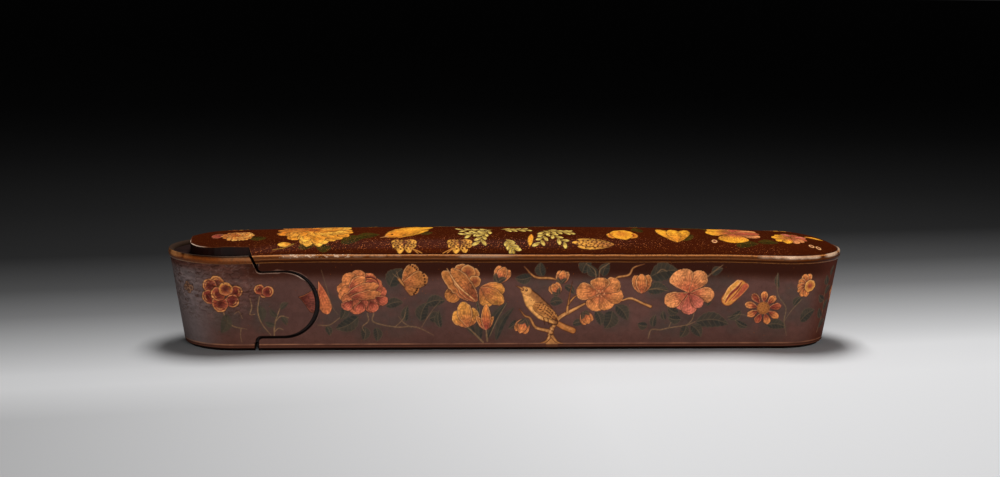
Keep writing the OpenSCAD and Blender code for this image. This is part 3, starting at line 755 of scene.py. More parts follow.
def iris_group(canvas):
    """The iris, with three half-open flowers and a bud round it."""
    leaves(canvas, [(-12.6, 5.2, 108, 12, 2.8), (-8.6, 4, 62, 14.6, 2.8), (-5.4, 3.6, 62, 13, 2.8),
                    (-11, 3.6, 82, 9.4, 2.8)], outline=0.4)
    strokes(canvas, [([(-9.9, 2.8), (-13, 6), (-15.6, 8.4)], [0.6, 0.5, 0.4]),
                     ([(-8.4, 3.2), (-8.7, 5.6), (-8.9, 7.6)], [0.6, 0.5, 0.4])])
    brush(canvas, [(-12.2, 17), (-11.6, 14), (-11.4, 10)], [0.7, 0.9, 0.4], PINE, OLIVE)
    brush(canvas, [(-7.6, 5), (-5, 11), (-2, 16.4)], [0.3, 0.4, 0.2], OLIVE)
    iris(canvas, -17.8, 22.6, 12)
    petals(canvas, -15.1, 8.2, [(132, 7.2, 5), (74, 6.8, 5), (103, 9, 5)],
           mix(MADDER, STRAW, 0.4), STRAW, CREAM, 1.3)
    petals(canvas, -11, 22.2, [(-64, 7.6, 5), (-10, 8.4, 5), (-36, 9.8, 5)],
           mix(MADDER, TAN, 0.5), mix(STRAW, TAN, 0.4), CREAM, 1.5)
    specks = [(-8.6 + 0.62 * k, 20.4 - 0.55 * k + 0.9 * math.sin(2.6 * k)) for k in range(9)]
    dots(canvas, specks, 0.45, MADDER, 0.7)
    petals(canvas, -8.9, 7.2, [(126, 5.8, 2), (62, 5.2, 1.8), (91, 8.9, 3.2)], MADDER, APRICOT, CREAM, 0.9)
    bud(canvas, -3.9, 26.2, 5.6, 65)


def bird_tree(canvas):
    """A small tree with a bird, buds, a blossom and an opening flower."""
    leaves(canvas, [(6.4, 25.6, 185, 5.6, 3.8), (10.2, 25.8, 98, 5, 3.8), (13, 16.6, 5, 4.6, 3.4),
                    (18, 22.6, -40, 4.6, 2.6), (24, 27, 60, 5.4, 4.6), (29.2, 26, 130, 5, 3.6),
                    (31, 26, 65, 5, 3.8), (36, 15.6, -52, 6.6, 4.4), (34.6, 13.6, -110, 6.6, 5.6),
                    (29, 13.6, -70, 5.4, 3.4), (47.6, 25.6, 12, 10, 6.6), (46.8, 20.8, 4, 7, 4.4),
                    (1.6, 10.4, 225, 4, 2.6), (21, 9, 10, 4, 2.6)])
    for points in ([(28.8, 25), (28.2, 28), (25.2, 30.2)], [(29.8, 25), (30.2, 28.2), (33.4, 30.4)],
                   [(46, 21), (50, 21.4), (54, 20.6)], [(50, 27), (51.6, 28.2), (53.4, 27.4)]):
        brush(canvas, points, [0.35, 0.4, 0.2], STEM, None, 0.8)
    perch = [(2.5, 14.4), (4.4, 12), (6.2, 11.2), (8.2, 8), (12.3, 6.8), (13.6, 6.2)]
    branches = [([(13.9, 2.2), (13.4, 4.2), (13.6, 6.8), (14.6, 9)], [4.8, 2.6, 2, 1.6]),
                ([(10, 2.5), (11.8, 3), (13.2, 4.8)], [0.5, 1, 1.4]),
                ([(17.6, 2.2), (15.6, 2.9), (14, 4.8)], [0.5, 1, 1.4]),
                (perch, [0.4, 0.9, 1, 1.2, 1.5, 1.6]),
                ([(14.4, 8.4), (16.4, 11.4), (19.8, 13.4), (25, 16.2)], [1.6, 1.5, 1.6, 1]),
                ([(19, 13.2), (19.2, 15.6), (20.8, 18), (22.6, 19.4)], [1.2, 1, 0.9, 0.7]),
                ([(19.3, 16), (19.7, 19), (20.6, 24)], [0.9, 0.6, 0.2]),
                ([(3.9, 29.2), (7.7, 25.6), (12.6, 25.2), (15.4, 24.6)], [0.4, 1, 1.1, 0.6]),
                ([(35, 23.7), (36.1, 25.4), (40.1, 26.3), (41.7, 28.8), (45.4, 30.1)], [0.9, 1, 1, 0.8, 0.4]),
                ([(37, 17), (40.9, 18), (44.9, 16.4), (47.9, 15.2)], [0.6, 1, 1, 1.3])]
    strokes(canvas, branches, BARK, SEPIA)
    for points in ([(12.6, 4), (13.2, 6.4), (14.4, 8.6)], [(15.6, 10.2), (19.6, 13.4), (24, 15.8)],
                   [(8, 7.6), (12, 6.9)], [(38, 17.4), (41, 18.2), (45, 16.6)]):
        brush(canvas, points, [0.2, 0.5, 0.2], mix(BARK, CREAM, 0.5), None, 0.7)
    bird(canvas, 9.2, 14.6, 14.2)
    buds = ((17.1, 25.4, 4.4, 80), (14.9, 21.2, 4.2, 120), (25.5, 11.4, 4.4, 300), (3.7, 8.6, 5, 250))
    for u, v, size, turn in buds:
        bud(canvas, u, v, size, turn)
    deep = mix(MADDER, TAN, 0.4)
    petals(canvas, *BLOSSOM, [(172, 8.4, 6.4), (-116, 6.8, 6), (-60, 6.6, 5.6), (-12, 8, 5.4), (36, 7.8, 5.8),
                              (93, 5.8, 6.6)], deep, mix(PEACH, CREAM, 0.1), CREAM, 1.9, 0.95)
    stamens = [(BLOSSOM[0] + 1.3 * math.cos(k), BLOSSOM[1] + 1.1 * math.sin(k)) for k in range(7)]
    dots(canvas, stamens, 0.5, mix(CREAM, ROSE, 0.4))
    petals(canvas, 44.7, 19.8, [(70, 6.8, 3.8), (112, 6.8, 3.8), (92, 6.8, 3.8)], deep, PEACH, CREAM, 1.2)


def right_group(canvas):
    """The pink flower, tulip and daisies of the front's right-hand end."""
    leaves(canvas, [(64, 9.8, -4, 11.4, 5.6), (58.6, 10.6, 170, 4.6, 3.4), (60.6, 8.6, 245, 4.8, 3.4),
                    (62.4, 8.6, 310, 5.4, 4), (47, 8.4, 170, 3.6, 3), (49, 8, 80, 4.4, 2.6),
                    (57.6, 12.8, 150, 4.4, 3.2), (69, 26.4, 30, 4.4, 3), (67.6, 15.4, 65, 5, 2.6),
                    (79.6, 13.6, 215, 5.4, 2.6), (88.8, 8.8, -6, 7, 3.8), (101, 10, 32, 7, 4.6),
                    (97.6, 15.8, 50, 4, 2.6), (82, 8, 150, 5, 2.4), (53, 10.4, 100, 3.4, 2.2),
                    (92, 22, 95, 5.4, 1.6)])
    runner = [(47.4, 4.1), (48.4, 7), (51.6, 7), (54.8, 7.7), (60.6, 8.6), (63.6, 9.8)]
    strokes(canvas, [(runner, [0.4, 0.45, 0.45, 0.4, 0.4, 0.3]), ([(54.4, 7.6), (55.2, 9.6)], [0.35, 0.2]),
                     ([(60.8, 8.6), (62.6, 10.6), (63.2, 12.8)], [0.3, 0.4, 0.3]),
                     ([(66.6, 22), (67.4, 25.4), (72.8, 29.8)], [0.3, 0.5, 0.25])], strength=0.8)
    tall = [(91.4, 27.4), (91.8, 20), (95, 15), (94.8, 10), (96.2, 5)]
    strokes(canvas, [(tall, [0.2, 0.3, 0.35, 0.35, 0.2]),
                     ([(100.6, 18), (97.4, 14.4), (95, 10.4)], [0.3, 0.3, 0.2])], OLIVE, None, 0.8)
    brush(canvas, [(83, 11.4), (79.6, 12.4), (74.8, 11.4)], [0.2, 0.3, 0.2], OLIVE, None, 0.7)
    petals(canvas, *PINK_FLOWER, [(238, 6.8, 4.6, BLUSH), (204, 9, 5.6), (272, 7.8, 5.2, BLUSH), (-6, 9, 5.4),
                                  (312, 6.8, 4.2, BLUSH)], MADDER, LIT_PEACH, CREAM, 1.9, 0.96)
    petals(canvas, *PINK_FLOWER, [(56, 9.3, 6), (116, 9.2, 8.2)], ROSE, LIT_PEACH, CREAM, 1.9, 0.96)
    dots(canvas, [(61.2, 19.6)], 0.9, CRIMSON)
    light_from_left(canvas, *PINK_FLOWER, 8.6)
    tulip(canvas, 76.8, 20, 11, 50)
    daisy(canvas, 87.2, 14.8, 6, 8, 9, CRIMSON, PEACH, TAN)
    for turn, long in ((84, 4.2), (112, 4.4), (146, 3.8), (180, 3.6), (212, 3.8), (244, 4.2), (272, 4)):
        petal(canvas, 101.8, 22.8, turn, long, 2.4, CRIMSON, PEACH, CREAM, 1, 1.8)
    scallop(canvas, 103, 22.6, 2.1, MADDER, STRAW)
    sprig(canvas, [(111, 5), (112.5, 12), (111.5, 19), (113.5, 25)], 6, 5)
    rose(canvas, 121, 18, 4.4, 40)


def paint_front(canvas):
    ground_tone(canvas, 31)
    haze(canvas, [(-98, 12, 8), (-84, 12, 8), (-60, 13, 9), (-44, 24, 9), (-50, 9, 9), (-39, 10, 8),
                  (-29, 14, 8), (-7, 10, 10), (8, 25, 7), (28, 26, 9), (35, 12, 8), (50, 24, 10),
                  (59, 10, 10), (51, 8, 7), (78, 11, 8), (71, 26, 7), (98, 16, 10), (90, 8, 8)])
    shade_wall(canvas)
    for group in (head_sprays, rose_group, iris_group, bird_tree, right_group):
        group(canvas)
    border_lines(canvas)


def paint_back(canvas):
    ground_tone(canvas, 53)
    haze(canvas, [(-104, 11, 9), (-88, 12, 8), (-76, 10, 8), (-54, 9, 10), (-40, 11, 9), (-26, 11, 9),
                  (8, 14, 9), (26, 10, 9), (44, 10, 9), (60, 10, 9), (82, 10, 9), (100, 11, 9)])
    shade_wall(canvas)
    sprig(canvas, [(-104, 5), (-106, 11), (-103, 16)], 3, 5)
    end_spray(canvas)
    open_flower(canvas, -103, 19.5, 6.2, 25, 6)
    sprig(canvas, [(-90, 5), (-88.5, 11), (-90, 18)], 3, 4.5, MOSS)
    bud(canvas, -89.6, 21.6, 5.4, 95)
    sprig(canvas, [(-80, 5), (-76, 9), (-72, 10.5)], 3, 4.5)
    daisy(canvas, -74, 18.8, 5.4, 12, 9)
    for start, long in ((-58, 8), (-44, 9), (-30, 7), (22, 8), (40, 8), (56, 7), (78, 8), (96, 7)):
        sprig(canvas, [(start, 4), (start + 3, 8), (start + long, 11)], 4, 5.5)
        leaf(canvas, start - 2, 25, 20 + start, 7, 4)
    rose(canvas, -50, 20, 8.8, 40)
    butterfly(canvas, -34, 22, 9.5, 118)
    iris(canvas, -18, 20.5, 10)
    brush(canvas, [(-16, 3), (-17, 9), (-17.6, 15)], [0.8, 0.7, 0.6], STEM)
    for turn in (70, 100, 130):
        leaf(canvas, -15, 3.6, turn, 14, 3)
    strokes(canvas, [([(2, 2.4), (3.6, 6), (8, 9.5), (14, 12)], [4.4, 2.2, 1.6, 1]),
                     ([(3.6, 6), (-1, 8), (-5, 13), (-8, 14.5)], [1.8, 1.3, 1, 0.5]),
                     ([(9, 10), (13, 17), (14, 22)], [1.2, 0.8, 0.4])], BARK, SEPIA)
    for u, v, turn, long in ((14, 12, 10, 7), (12, 16, 140, 6), (-5, 13, 70, 6), (-2, 9, 240, 5)):
        leaf(canvas, u, v, turn, long, long * 0.56)
    bird(canvas, 0.5, 18.4, 13, 1)
    bud(canvas, 14.4, 24, 4.8, 80)
    bud(canvas, -9, 17, 4.6, 130)
    open_flower(canvas, 31, 20, 8, 10, 7, 0.9, CRIMSON, PEACH)
    tulip(canvas, 48, 20, 10, 112)
    rose(canvas, 66, 19.6, 8.4, 5, 0.9, CRIMSON, MADDER, ROSE)
    daisy(canvas, 84, 17, 5.6, 4)
    butterfly(canvas, 96, 19, 7.5, 60)
    sprig(canvas, [(108, 5), (109, 12), (107, 20), (110, 26)], 6, 5.5)
    rose(canvas, 118, 17, 4.8, 70)
    border_lines(canvas)


def top_leaves(canvas):
    """Leaves and sprigs all over the top, under its flowers."""
    leafy = dict(green=FERN, vein=FERN_VEIN)
    strewn = ((-84, -10, 170, 7), (-83, 8, 150, 9), (-58.4, -13.8, 25, 9), (-53, -10.4, 14, 8),
              (-50, 6, 30, 10), (-80, 13, 30, 8), (-100, 6, 80, 7), (-40, 12, 200, 9), (-24, 6, 30, 9),
              (64, -8, 200, 8), (-73, -15.8, 12, 6), (78, -15, 4, 8), (86, -13, -8, 7), (70, 10, 140, 9),
              (52, 9, 30, 9), (98, 6, 60, 8), (-62, -16, 160, 6), (86, 8, 200, 8), (46, -6, 100, 7),
              (20, 10, 30, 8), (-6, 12, 160, 9), (-66, 14, 160, 8), (-27, -7, 170, 6))
    for u, v, turn, long in strewn:
        leaf(canvas, u, v, turn, long, long * 0.55, outline=0.5, **leafy)
    for u, v in ((-30, 10), (-2, 6), (28, 8), (60, 3)):
        sprig(canvas, [(u, v), (u + 5, v + 2), (u + 11, v - 1)], 5, 5, **leafy)


def top_large_flowers(canvas):
    """The two full roses on the left, and the two open flowers on the right."""
    brush(canvas, [(-74.6, -14), (-77.6, -16), (-81.6, -17.4)], [0.5, 0.4, 0.2], TWIG)
    petal(canvas, -75.6, -14, 190, 4.4, 2.4, AMBER, LEMON, LEMON, 1, 1.2)
    for turn in (150, 205, 178):
        petal(canvas, -98.4, -5.6, turn, 4.4, 3.6, CRIMSON, MADDER, CREAM, 1, 1.6)
    full_rose(canvas, -93.8, -6.4, 5.7, 0, 1, RUST, mix(AMBER, PEACH, 0.4), mix(LEMON, CREAM, 0.4), CREAM)
    full_rose(canvas, -67.3, -2, 13.2, 20, 0.98, RUST, mix(AMBER, GOLD, 0.4), LEMON, mix(LEMON, CREAM, 0.5))
    petals(canvas, 78.6, -4.8, [(104, 9, 7, PEACH), (64, 9, 7, ROSE), (142, 10, 6), (30, 10, 6, LIT_PEACH),
                                (178, 9.6, 6), (338, 9.8, 5, LIT_PEACH), (2, 9.6, 4.4, ROSE),
                                (262, 8.6, 10.5)], MADDER, GOLD, LEMON, 1.8)
    for turn, long, tone in ((60, 6, ROSE), (100, 6, BLUSH), (140, 6, GOLD), (20, 6.4, BLUSH), (-16, 6, ROSE),
                             (176, 6.6, GOLD), (316, 5.6, LIT_PEACH), (212, 6.6, GOLD), (284, 5.8, LIT_PEACH),
                             (248, 6.2, GOLD)):
        petal(canvas, 98.4, -8.2, turn, long, 3.4, MADDER, tone, LEMON, 1, 1.8)
    petal(canvas, 104.4, -4.6, 14, 7.4, 2.6, AMBER, GOLD, LEMON, 1, 1.1)


def top_insects(canvas):
    """The twin blossom, the spotted moth and two butterflies."""
    for u in (35.6, 42.2):
        scallop(canvas, u, -9, 2.1, RUST, AMBER, LEMON)
    scallop(canvas, 38.9, -7.8, 4, AMBER, GOLD, LEMON)
    dots(canvas, [(35.4, -8), (42.6, -8.2), (38.4, -5.6)], 1, RUST)
    ochre = mix(LEMON, TAN, 0.3)
    petals(canvas, 35.2, -14.6, [(184, 12.6, 2.9), (168, 12.6, 2.9), (176, 14.4, 2.9)],
           TAN, ochre, LEMON, 1.0)
    spotted(canvas, 28.4, -14, 6.2, 2.2, 44, 0.6, SEPIA)
    for u, lean in ((-37, -1), (-17.9, 1)):
        for turn, long in ((200, 4.6), (222, 5.2), (250, 5.6), (290, 5.4), (318, 5), (340, 4.4)):
            petal(canvas, u, -12.4, turn, long, 2.6, TAN, ochre, LEMON, 1, 1.8)
        spotted(canvas, u, -14.4, 4.2, 2.4, 36, 0.6, SEPIA)
        brush(canvas, [(u, -11.6), (u, -15.6)], [0.8, 0.4], SEPIA)
        for reach in (4.6, 6):
            brush(canvas, [(u - lean * 2, -16), (u - lean * reach, -17.6)], [0.25, 0.2], STRAW)


def top_fronds(canvas):
    """Light feathery fronds in the middle of the top."""
    strewn = np.random.default_rng(9)
    for points in ([(-6, -3.4), (-11, -4.4), (-17, -4)], [(-7, -4), (-11, -7.4), (-15.6, -9)],
                   [(-7, -4.6), (-9.6, -9), (-11, -13.6)], [(12, -4), (11.4, -9), (9.4, -14.4)],
                   [(13, -4), (15, -9.6), (18.6, -14)], [(13, -4), (17, -6), (20.8, -6.4)],
                   [(-3, -3), (1, -3.8), (6, -3.4)], [(-2, -12), (-1, -14.4), (0.4, -16.6)]):
        way = smooth_path(points)
        brush(canvas, points, [0.35, 0.3, 0.2], FROND_STALK)
        for k in range(1, len(way) - 1, 2):
            turn = heading(*(way[k + 1] - way[k])) + (38 if k % 4 == 1 else -38)
            petal(canvas, *way[k], turn, strewn.uniform(2.6, 3.6), 1.3, FROND_DEEP, FROND, FROND_LIT, 1, 1.2)


def paint_top(canvas):
    """The top's paint is brighter: yellow and orange on garnet."""
    ground_tone(canvas, 71)
    for group in (top_leaves, top_large_flowers, top_insects):
        group(canvas)
    # Bird's breast and opening flower, both lit yellow
    petals(canvas, -43.2, -10.2, [(46, 17, 5), (22, 16, 5), (34, 20, 6.4)], AMBER, GOLD, LEMON, 0.9)
    brush(canvas, [(-42.6, -9.8), (-45.2, -10.8)], [1, 0.2], BARK)
    dots(canvas, [(-41, -8.4)], 0.9, UMBER)
    petals(canvas, 57.6, -13.2, [(116, 12.6, 4.8), (66, 11.8, 4.8), (92, 11.4, 4.8)], AMBER, GOLD, LEMON, 1.3)
    top_fronds(canvas)
    petal(canvas, 7.2, -8.4, 260, 7, 1.7, AMBER, GOLD, LEMON, 1, 1.1)
    berries = ((70.8, -12.2), (104.6, -14.4), (107, -14.6))
    dots(canvas, berries, 2, CREAM)
    dots(canvas, berries, 1.1, CRIMSON)
    # Far side
    full_rose(canvas, 12, 11, 6.5, 10, 1, RUST, AMBER, GOLD, LEMON)
    open_flower(canvas, -22, 9.6, 5.4, 0, 6, 1, RUST, GOLD, LEMON, APRICOT)
    open_flower(canvas, 46, 10.4, 6, 12, 6, 1, RUST, GOLD, LEMON, APRICOT)
    full_rose(canvas, -48, 10.4, 6, 30, 1, RUST, AMBER, GOLD, LEMON)
    daisy(canvas, 98, 10.4, 5.4, 0, 10, RUST, GOLD)
    butterfly(canvas, 30, 10, 8, 60, LEMON)
    daisy(canvas, -94, 10.6, 4.4, 0, 9, RUST, GOLD)


def worn_edge(canvas, away, reach, tone=WORN, strength=0.9):
    """Rubbed paint within reach of a cut edge, where away is each point's distance from it."""
    ragged = reach * (0.75 + 0.6 * canvas.cloud(1.6, 91))
    mask = strength * ease((ragged - away.ravel()) / (0.5 * reach) + 0.3)
    canvas.wash(mask, tone)
    canvas.worn = np.maximum(canvas.worn, mask)


def sleeve_wear_and_shade(canvas, away):
    """Pale rubbing along the sleeve's notch, more of it higher up, and a near-black strip of painted shade
    beside its gap.
    """
    high = ease((canvas.v - 19) / 8)
    worn_edge(canvas, away, 0.6, mix(WORN, AUBERGINE, 0.5), 0.1 + 0.4 * high)
    # Painted shade: a near-black strip along the cut, beside the gap
    canvas.wash(0.95 * ease((0.34 - away.ravel()) / 0.12), PAINTED_SHADE_BLACK)


def head_wear_and_shade(canvas, away):
    """The head's edges, rubbed pale, with painted shade beside the gap, and the wrinkled and crackled varnish
    towards its left end.
    """
    high = ease((canvas.v - 19) / 8)
    worn_edge(canvas, away, 0.36, WORN, 0.15 + 0.3 * high + 0.4 * high * ease((canvas.u + 75) / 3))
    # Painted shade: a near-black strip beside the gap along the cut, fading out higher up
    canvas.wash(0.9 * ease((0.34 - away.ravel()) / 0.12) * (1 - high), PAINTED_SHADE_BLACK)
    bare = ease((-78 - canvas.u) / 16) * ease((canvas.v - 6) / 14)
    for tone, seed, strength, lift in ((CRACKLE, 61, 0.36, 0.02), (UMBER, 63, 0.6, -0.02)):
        wave = canvas.cloud(2.4, seed, 2.4) + 0.4 * canvas.cloud(0.9, seed + 1, 2)
        crackle = bare * (1 - ease(np.abs(wave) / 0.16))
        canvas.wash(strength * crackle, tone)
        canvas.lift += lift * crackle
    wrinkle_and_shading = bare * noise(canvas.u + 0.4 * canvas.v, canvas.v * 2.8, 1.5, 67)
    # Painted light and shade on the wrinkles: lighter where they rise, darker where they sink
    canvas.rgb *= (1 + 0.16 * wrinkle_and_shading)[:, None]
    canvas.lift += 0.025 * wrinkle_and_shading


# Meshes
def link(name, mesh, material, body):
    piece = bpy.data.objects.new(name, mesh)
    bpy.context.scene.collection.objects.link(piece)
    mesh.materials.append(material)
    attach(piece, body)
    return piece


def outward_normals(points):
    along, across = np.gradient(points, axis=0), np.gradient(points, axis=1)
    normals = np.cross(along, across)
    return normals / np.maximum(np.linalg.norm(normals, axis=-1, keepdims=True), 1e-9)


def steps(length, spacing):
    """How many spans of about the spacing fill a length, as a multiple of the coarse step."""
    return COARSE * max(1, round(length / spacing / COARSE))


def shell(name, points, canvas, rows):
    """A closed thin shell: the painted face, a coarse face sunk into the form, and the edges between them.
    points is a grid whose columns run along the piece; rows is how often its picture folds in the UV map."""
    nu, nv = points.shape[:2]
    normals = outward_normals(points)
    face = points + normals * (SKIN + canvas.lift.reshape(nu, nv, 1))
    face[..., 2] = np.maximum(face[..., 2], 0)
    back = (points - normals * SUNK)[::COARSE, ::COARSE]
    back[..., 2] = np.maximum(back[..., 2], 0.1)
    cu, cv = back.shape[:2]
    fine = np.arange(nu * nv).reshape(nu, nv)
    deep = np.arange(cu * cv).reshape(cu, cv) + nu * nv
    quads = np.stack([fine[:-1, :-1], fine[1:, :-1], fine[1:, 1:], fine[:-1, 1:]], -1).reshape(-1, 4)
    under = np.stack([deep[:-1, :-1], deep[:-1, 1:], deep[1:, 1:], deep[1:, :-1]], -1).reshape(-1, 4)
    edges = []
    borders = ((fine[::-1, 0], deep[::-1, 0]), (fine[:, -1], deep[:, -1]), (fine[0], deep[0]),
               (fine[-1, ::-1], deep[-1, ::-1]))
    for line, low in borders:
        for k in range(len(low) - 1):
            edges.append([*line[k * COARSE:(k + 1) * COARSE + 1].tolist(), int(low[k + 1]), int(low[k])])
    mesh = bpy.data.meshes.new(name)
    corners = np.vstack([face.reshape(-1, 3), back.reshape(-1, 3)]) * MM
    mesh.from_pydata(corners.tolist(), [], [*quads.tolist(), *under.tolist(), *edges])
    mesh.shade_smooth()
    mesh.set_sharp_from_angle(angle=math.radians(SHARP_ANGLE))

    hidden = np.zeros(cu * cv)
    rgb = np.vstack([to_linear(np.clip(canvas.rgb, 0, 1)), np.tile(to_linear(UMBER), (cu * cv, 1))])
    masks = [np.concatenate([m, hidden]) for m in (canvas.gold, canvas.worn)]
    for title, values in (("paint", rgb), ("finish", np.stack([*masks, np.zeros(len(rgb))], 1))):
        layer = mesh.color_attributes.new(title, "FLOAT_COLOR", "POINT")
        layer.data.foreach_set("color", np.column_stack([values, np.ones(len(values))]).ravel())
    fold_picture(mesh, nu, nv, cu, cv, edges, rows)
    return mesh


def fold_picture(mesh, nu, nv, cu, cv, edges, rows):
    """UV map in which the long painted face is folded into rows; hidden faces share a thin strip on top."""
    i, j = np.meshgrid(np.arange(nu - 1), np.arange(nv - 1), indexing="ij")
    per_row = math.ceil((nu - 1) / rows)
    row = i // per_row
    turns = ((0, 0), (1, 0), (1, 1), (0, 1))
    across = np.stack([(i - row * per_row + a) / per_row for a, b in turns], -1)
    up = np.stack([(row + 0.03 + 0.94 * (j + b) / (nv - 1)) / rows for a, b in turns], -1)
    picture = np.stack([0.005 + 0.99 * across, 0.975 * up], -1).reshape(-1, 2)
    i, j = np.meshgrid(np.arange(cu - 1), np.arange(cv - 1), indexing="ij")
    turns = ((0, 0), (0, 1), (1, 1), (1, 0))
    across = np.stack([(i + a) / (cu - 1) for a, b in turns], -1)
    up = np.stack([0.98 + 0.008 * (j + b) / (cv - 1) for a, b in turns], -1)
    under = np.stack([across, up], -1)
    rim = []
    for k, loop in enumerate(edges):
        u = (k + np.linspace(0.1, 0.9, len(loop) - 2)) / len(edges)
        rim += [*zip(u, np.full(len(u), 0.991)), (u[-1], 0.998), (u[0], 0.998)]
    layer = mesh.uv_layers.new(name="OFBake")
    layer.data.foreach_set("uv", np.vstack([picture, under.reshape(-1, 2), np.array(rim)]).ravel())


def between(low, high, count):
    """A grid whose columns run from the low edge to the high edge."""
    return mix(low[:, None], high[:, None], np.linspace(0, 1, count + 1)[None, :])


def columns(*stretches, spacing):
    """Positions along a piece, with the spacing kept in each stretch and a whole number of coarse steps."""
    parts = [np.linspace(a, b, steps(abs(b - a), spacing) + 1) for a, b in zip(stretches, stretches[1:])]
    return np.concatenate([parts[0], *[p[1:] for p in parts[1:]]])


def tip_columns(centre, r, spacing):
    """Positions that follow the arc of a round tip, so that its points stay evenly spaced."""
    return centre + r * np.sin(np.linspace(0, math.pi / 2, steps(r * math.pi / 2, spacing) + 1))[1:]


def wall_skin(name, body, s, z, side, paint, material, away, rows):
    """A painted skin on a wall. Its points run so that their normals face out on either side."""
    if side > 0:
        s, z, away = s[::-1], z[::-1], away[::-1]
    canvas = Canvas(s, z, AUBERGINE)
    paint(canvas)
    # Rubbing, and painted shade beside the cuts, for the sleeve or for the head
    wear_and_shade = sleeve_wear_and_shade if body == "sleeve" else head_wear_and_shade
    wear_and_shade(canvas, away)
    mesh = shell(name, wall_points(s, z, side), canvas, rows)
    return link(name, mesh, material, body)


WALLS = ((-1, "front", paint_front, FINE), (1, "back", paint_back, PLAIN))


def sleeve_walls(material):
    """The sleeve's front and back, each an upper and a lower skin that meet behind the tip of the notch."""
    r = SIDE_TONGUE_H / 2 + EDGE_GAP
    start = CUT_X + CUT_GAP
    tip = start + SIDE_TONGUE_L
    top_start = start - CUT_LEAN * (SKIN_TOP - ROOT_TOP) + SLIVER
    for side, place, paint, spacing in WALLS:
        rest = columns(tip, S_TIP, spacing=spacing)[1:]
        bend = tip_columns(tip - r, r, spacing)
        for level, stretches in (("upper", (top_start, start, tip - r)), ("lower", (start, tip - r))):
            s = np.concatenate([columns(*stretches, spacing=spacing), bend, rest])
            low, high = notch_heights(s, CUT_GAP, EDGE_GAP)
            if level == "upper":
                edge = np.minimum(high, SKIN_TOP - SLIVER)
                z = between(edge, np.full(s.size, SKIN_TOP), steps(SKIN_TOP - SIDE_TONGUE_Z, spacing))
                away = z - edge[:, None]
            else:
                z = between(np.zeros(s.size), low, steps(SIDE_TONGUE_Z, spacing))
                away = low[:, None] - z
            s = s[:, None] + 0 * z
            away = np.where(s < tip, away, FAR)
            away = np.minimum(away, np.abs(s - start))
            away = np.minimum(away, np.abs(np.hypot(s - tip + r, z - SIDE_TONGUE_Z) - r))
            wall_skin(f"sleeve_{place}_{level}_skin", "sleeve", s, z, side, paint, material, away, 5)


def head_walls(material):
    """The drawer head's skin round the left end, and the skins of its two side tongues."""
    tongue = CUT_X + SIDE_TONGUE_L
    r = SIDE_TONGUE_H / 2
    for side, place, paint, spacing in WALLS:
        z = np.linspace(0, SKIN_TOP, steps(SKIN_TOP, spacing) + 1)[None, :]
        right = np.where(z > ROOT_TOP, cut_x_at(z), CUT_X)
        t = np.linspace(0, 1, steps(S_TIP + CUT_X, spacing) + 1)[:, None]
        s = mix(-S_TIP, right, t)
        z = z + 0 * s
        beside = (z > SIDE_TONGUE_Z - r - ROOT_R) & (z < ROOT_TOP)
        away = np.where(beside, FAR, right - s)
        wall_skin(f"head_{place}_skin", "drawer", s, z, side, paint, material, away, 2)
        s = np.concatenate([columns(CUT_X, tongue - r, spacing=spacing), tip_columns(tongue - r, r, spacing)])
        low, high = notch_heights(s, 0, 0)
        z = between(low, np.maximum(high, low + SLIVER), steps(SIDE_TONGUE_H, spacing))
        s = s[:, None] + 0 * z
        rim = np.where(s > tongue - r, r - np.hypot(s - tongue + r, z - SIDE_TONGUE_Z), FAR)
        away = np.minimum(np.minimum(z - low[:, None], high[:, None] - z), rim)
        wall_skin(f"head_{place}_tongue_skin", "drawer", s, z, side, paint, material, away, 1)


def sleeve_top(material):
    """The domed top: two lengths of the sleeve, and the tongue over the head."""
    half_tongue = TOP_TONGUE_W / 2
    seam_x = CUT_X
    for _ in range(SEAM_ROUNDS):
        seam_x = CUT_X + CUT_GAP - CUT_LEAN * (dome_z(seam_x, half_tongue) - ROOT_TOP)
    share = half_tongue / dome_half(np.array(seam_x), TOP_EDGE)
    inner = steps(2 * half_tongue, PLAIN)
    outer = steps(FLANK_RUN, PLAIN)
    turn = np.linspace(0, FLANK_TURN, outer + 1)[1:]
    flank = share + (1 - share) * np.sin(turn) / math.sin(FLANK_TURN)
    across = np.concatenate([-flank[::-1], np.linspace(-share, share, inner + 1), flank])
    seam = np.full(across.size, seam_x)
    for _ in range(SEAM_ROUNDS):
        y = dome_half(seam, TOP_EDGE) * across
        leaning = CUT_X + CUT_GAP - CUT_LEAN * (dome_z(seam, y) - ROOT_TOP)
        seam = np.where(np.abs(across) > share + 1e-6, leaning, seam_x)
    end = RIM_C + RIM_R * TOP_EDGE
    left = np.linspace(0, 1, steps(TOP_MIDDLE - seam_x, PLAIN) + 1)
    right = np.sin(np.linspace(0, math.pi / 2, steps((end - TOP_MIDDLE) * 1.2, PLAIN) + 1))
    middle = np.full(across.size, TOP_MIDDLE)
    for name, t, first, last in (("left", left, seam, TOP_MIDDLE), ("right", right, middle, end - 0.01)):
        x = mix(first[None, :], last, t[:, None])
        y = dome_half(x, TOP_EDGE) * across[None, :]
        cut = (np.abs(across[None, :]) > share) & (name == "left")
        top_skin(f"sleeve_top_{name}_skin", x, y, np.where(cut, x - seam[None, :], FAR), material, 3)
    centre = TOP_TIP_X + TOP_TONGUE_R
    tip = 2 * centre - tip_columns(centre, TOP_TONGUE_R, PLAIN)[::-1]
    x = np.concatenate([tip, columns(centre, seam_x, spacing=PLAIN)])[:, None]
    bend = np.sqrt(np.maximum(TOP_TONGUE_R ** 2 - np.maximum(centre - x, 0) ** 2, 0))
    y = (half_tongue - TOP_TONGUE_R + bend) * (across[outer:-outer] / share)[None, :]
    x = x + 0 * y
    corner = np.hypot(np.maximum(centre - x, 0), np.maximum(np.abs(y) - half_tongue + TOP_TONGUE_R, 0))
    top_skin("sleeve_top_tongue_skin", x, y, TOP_TONGUE_R - corner, material, 1)


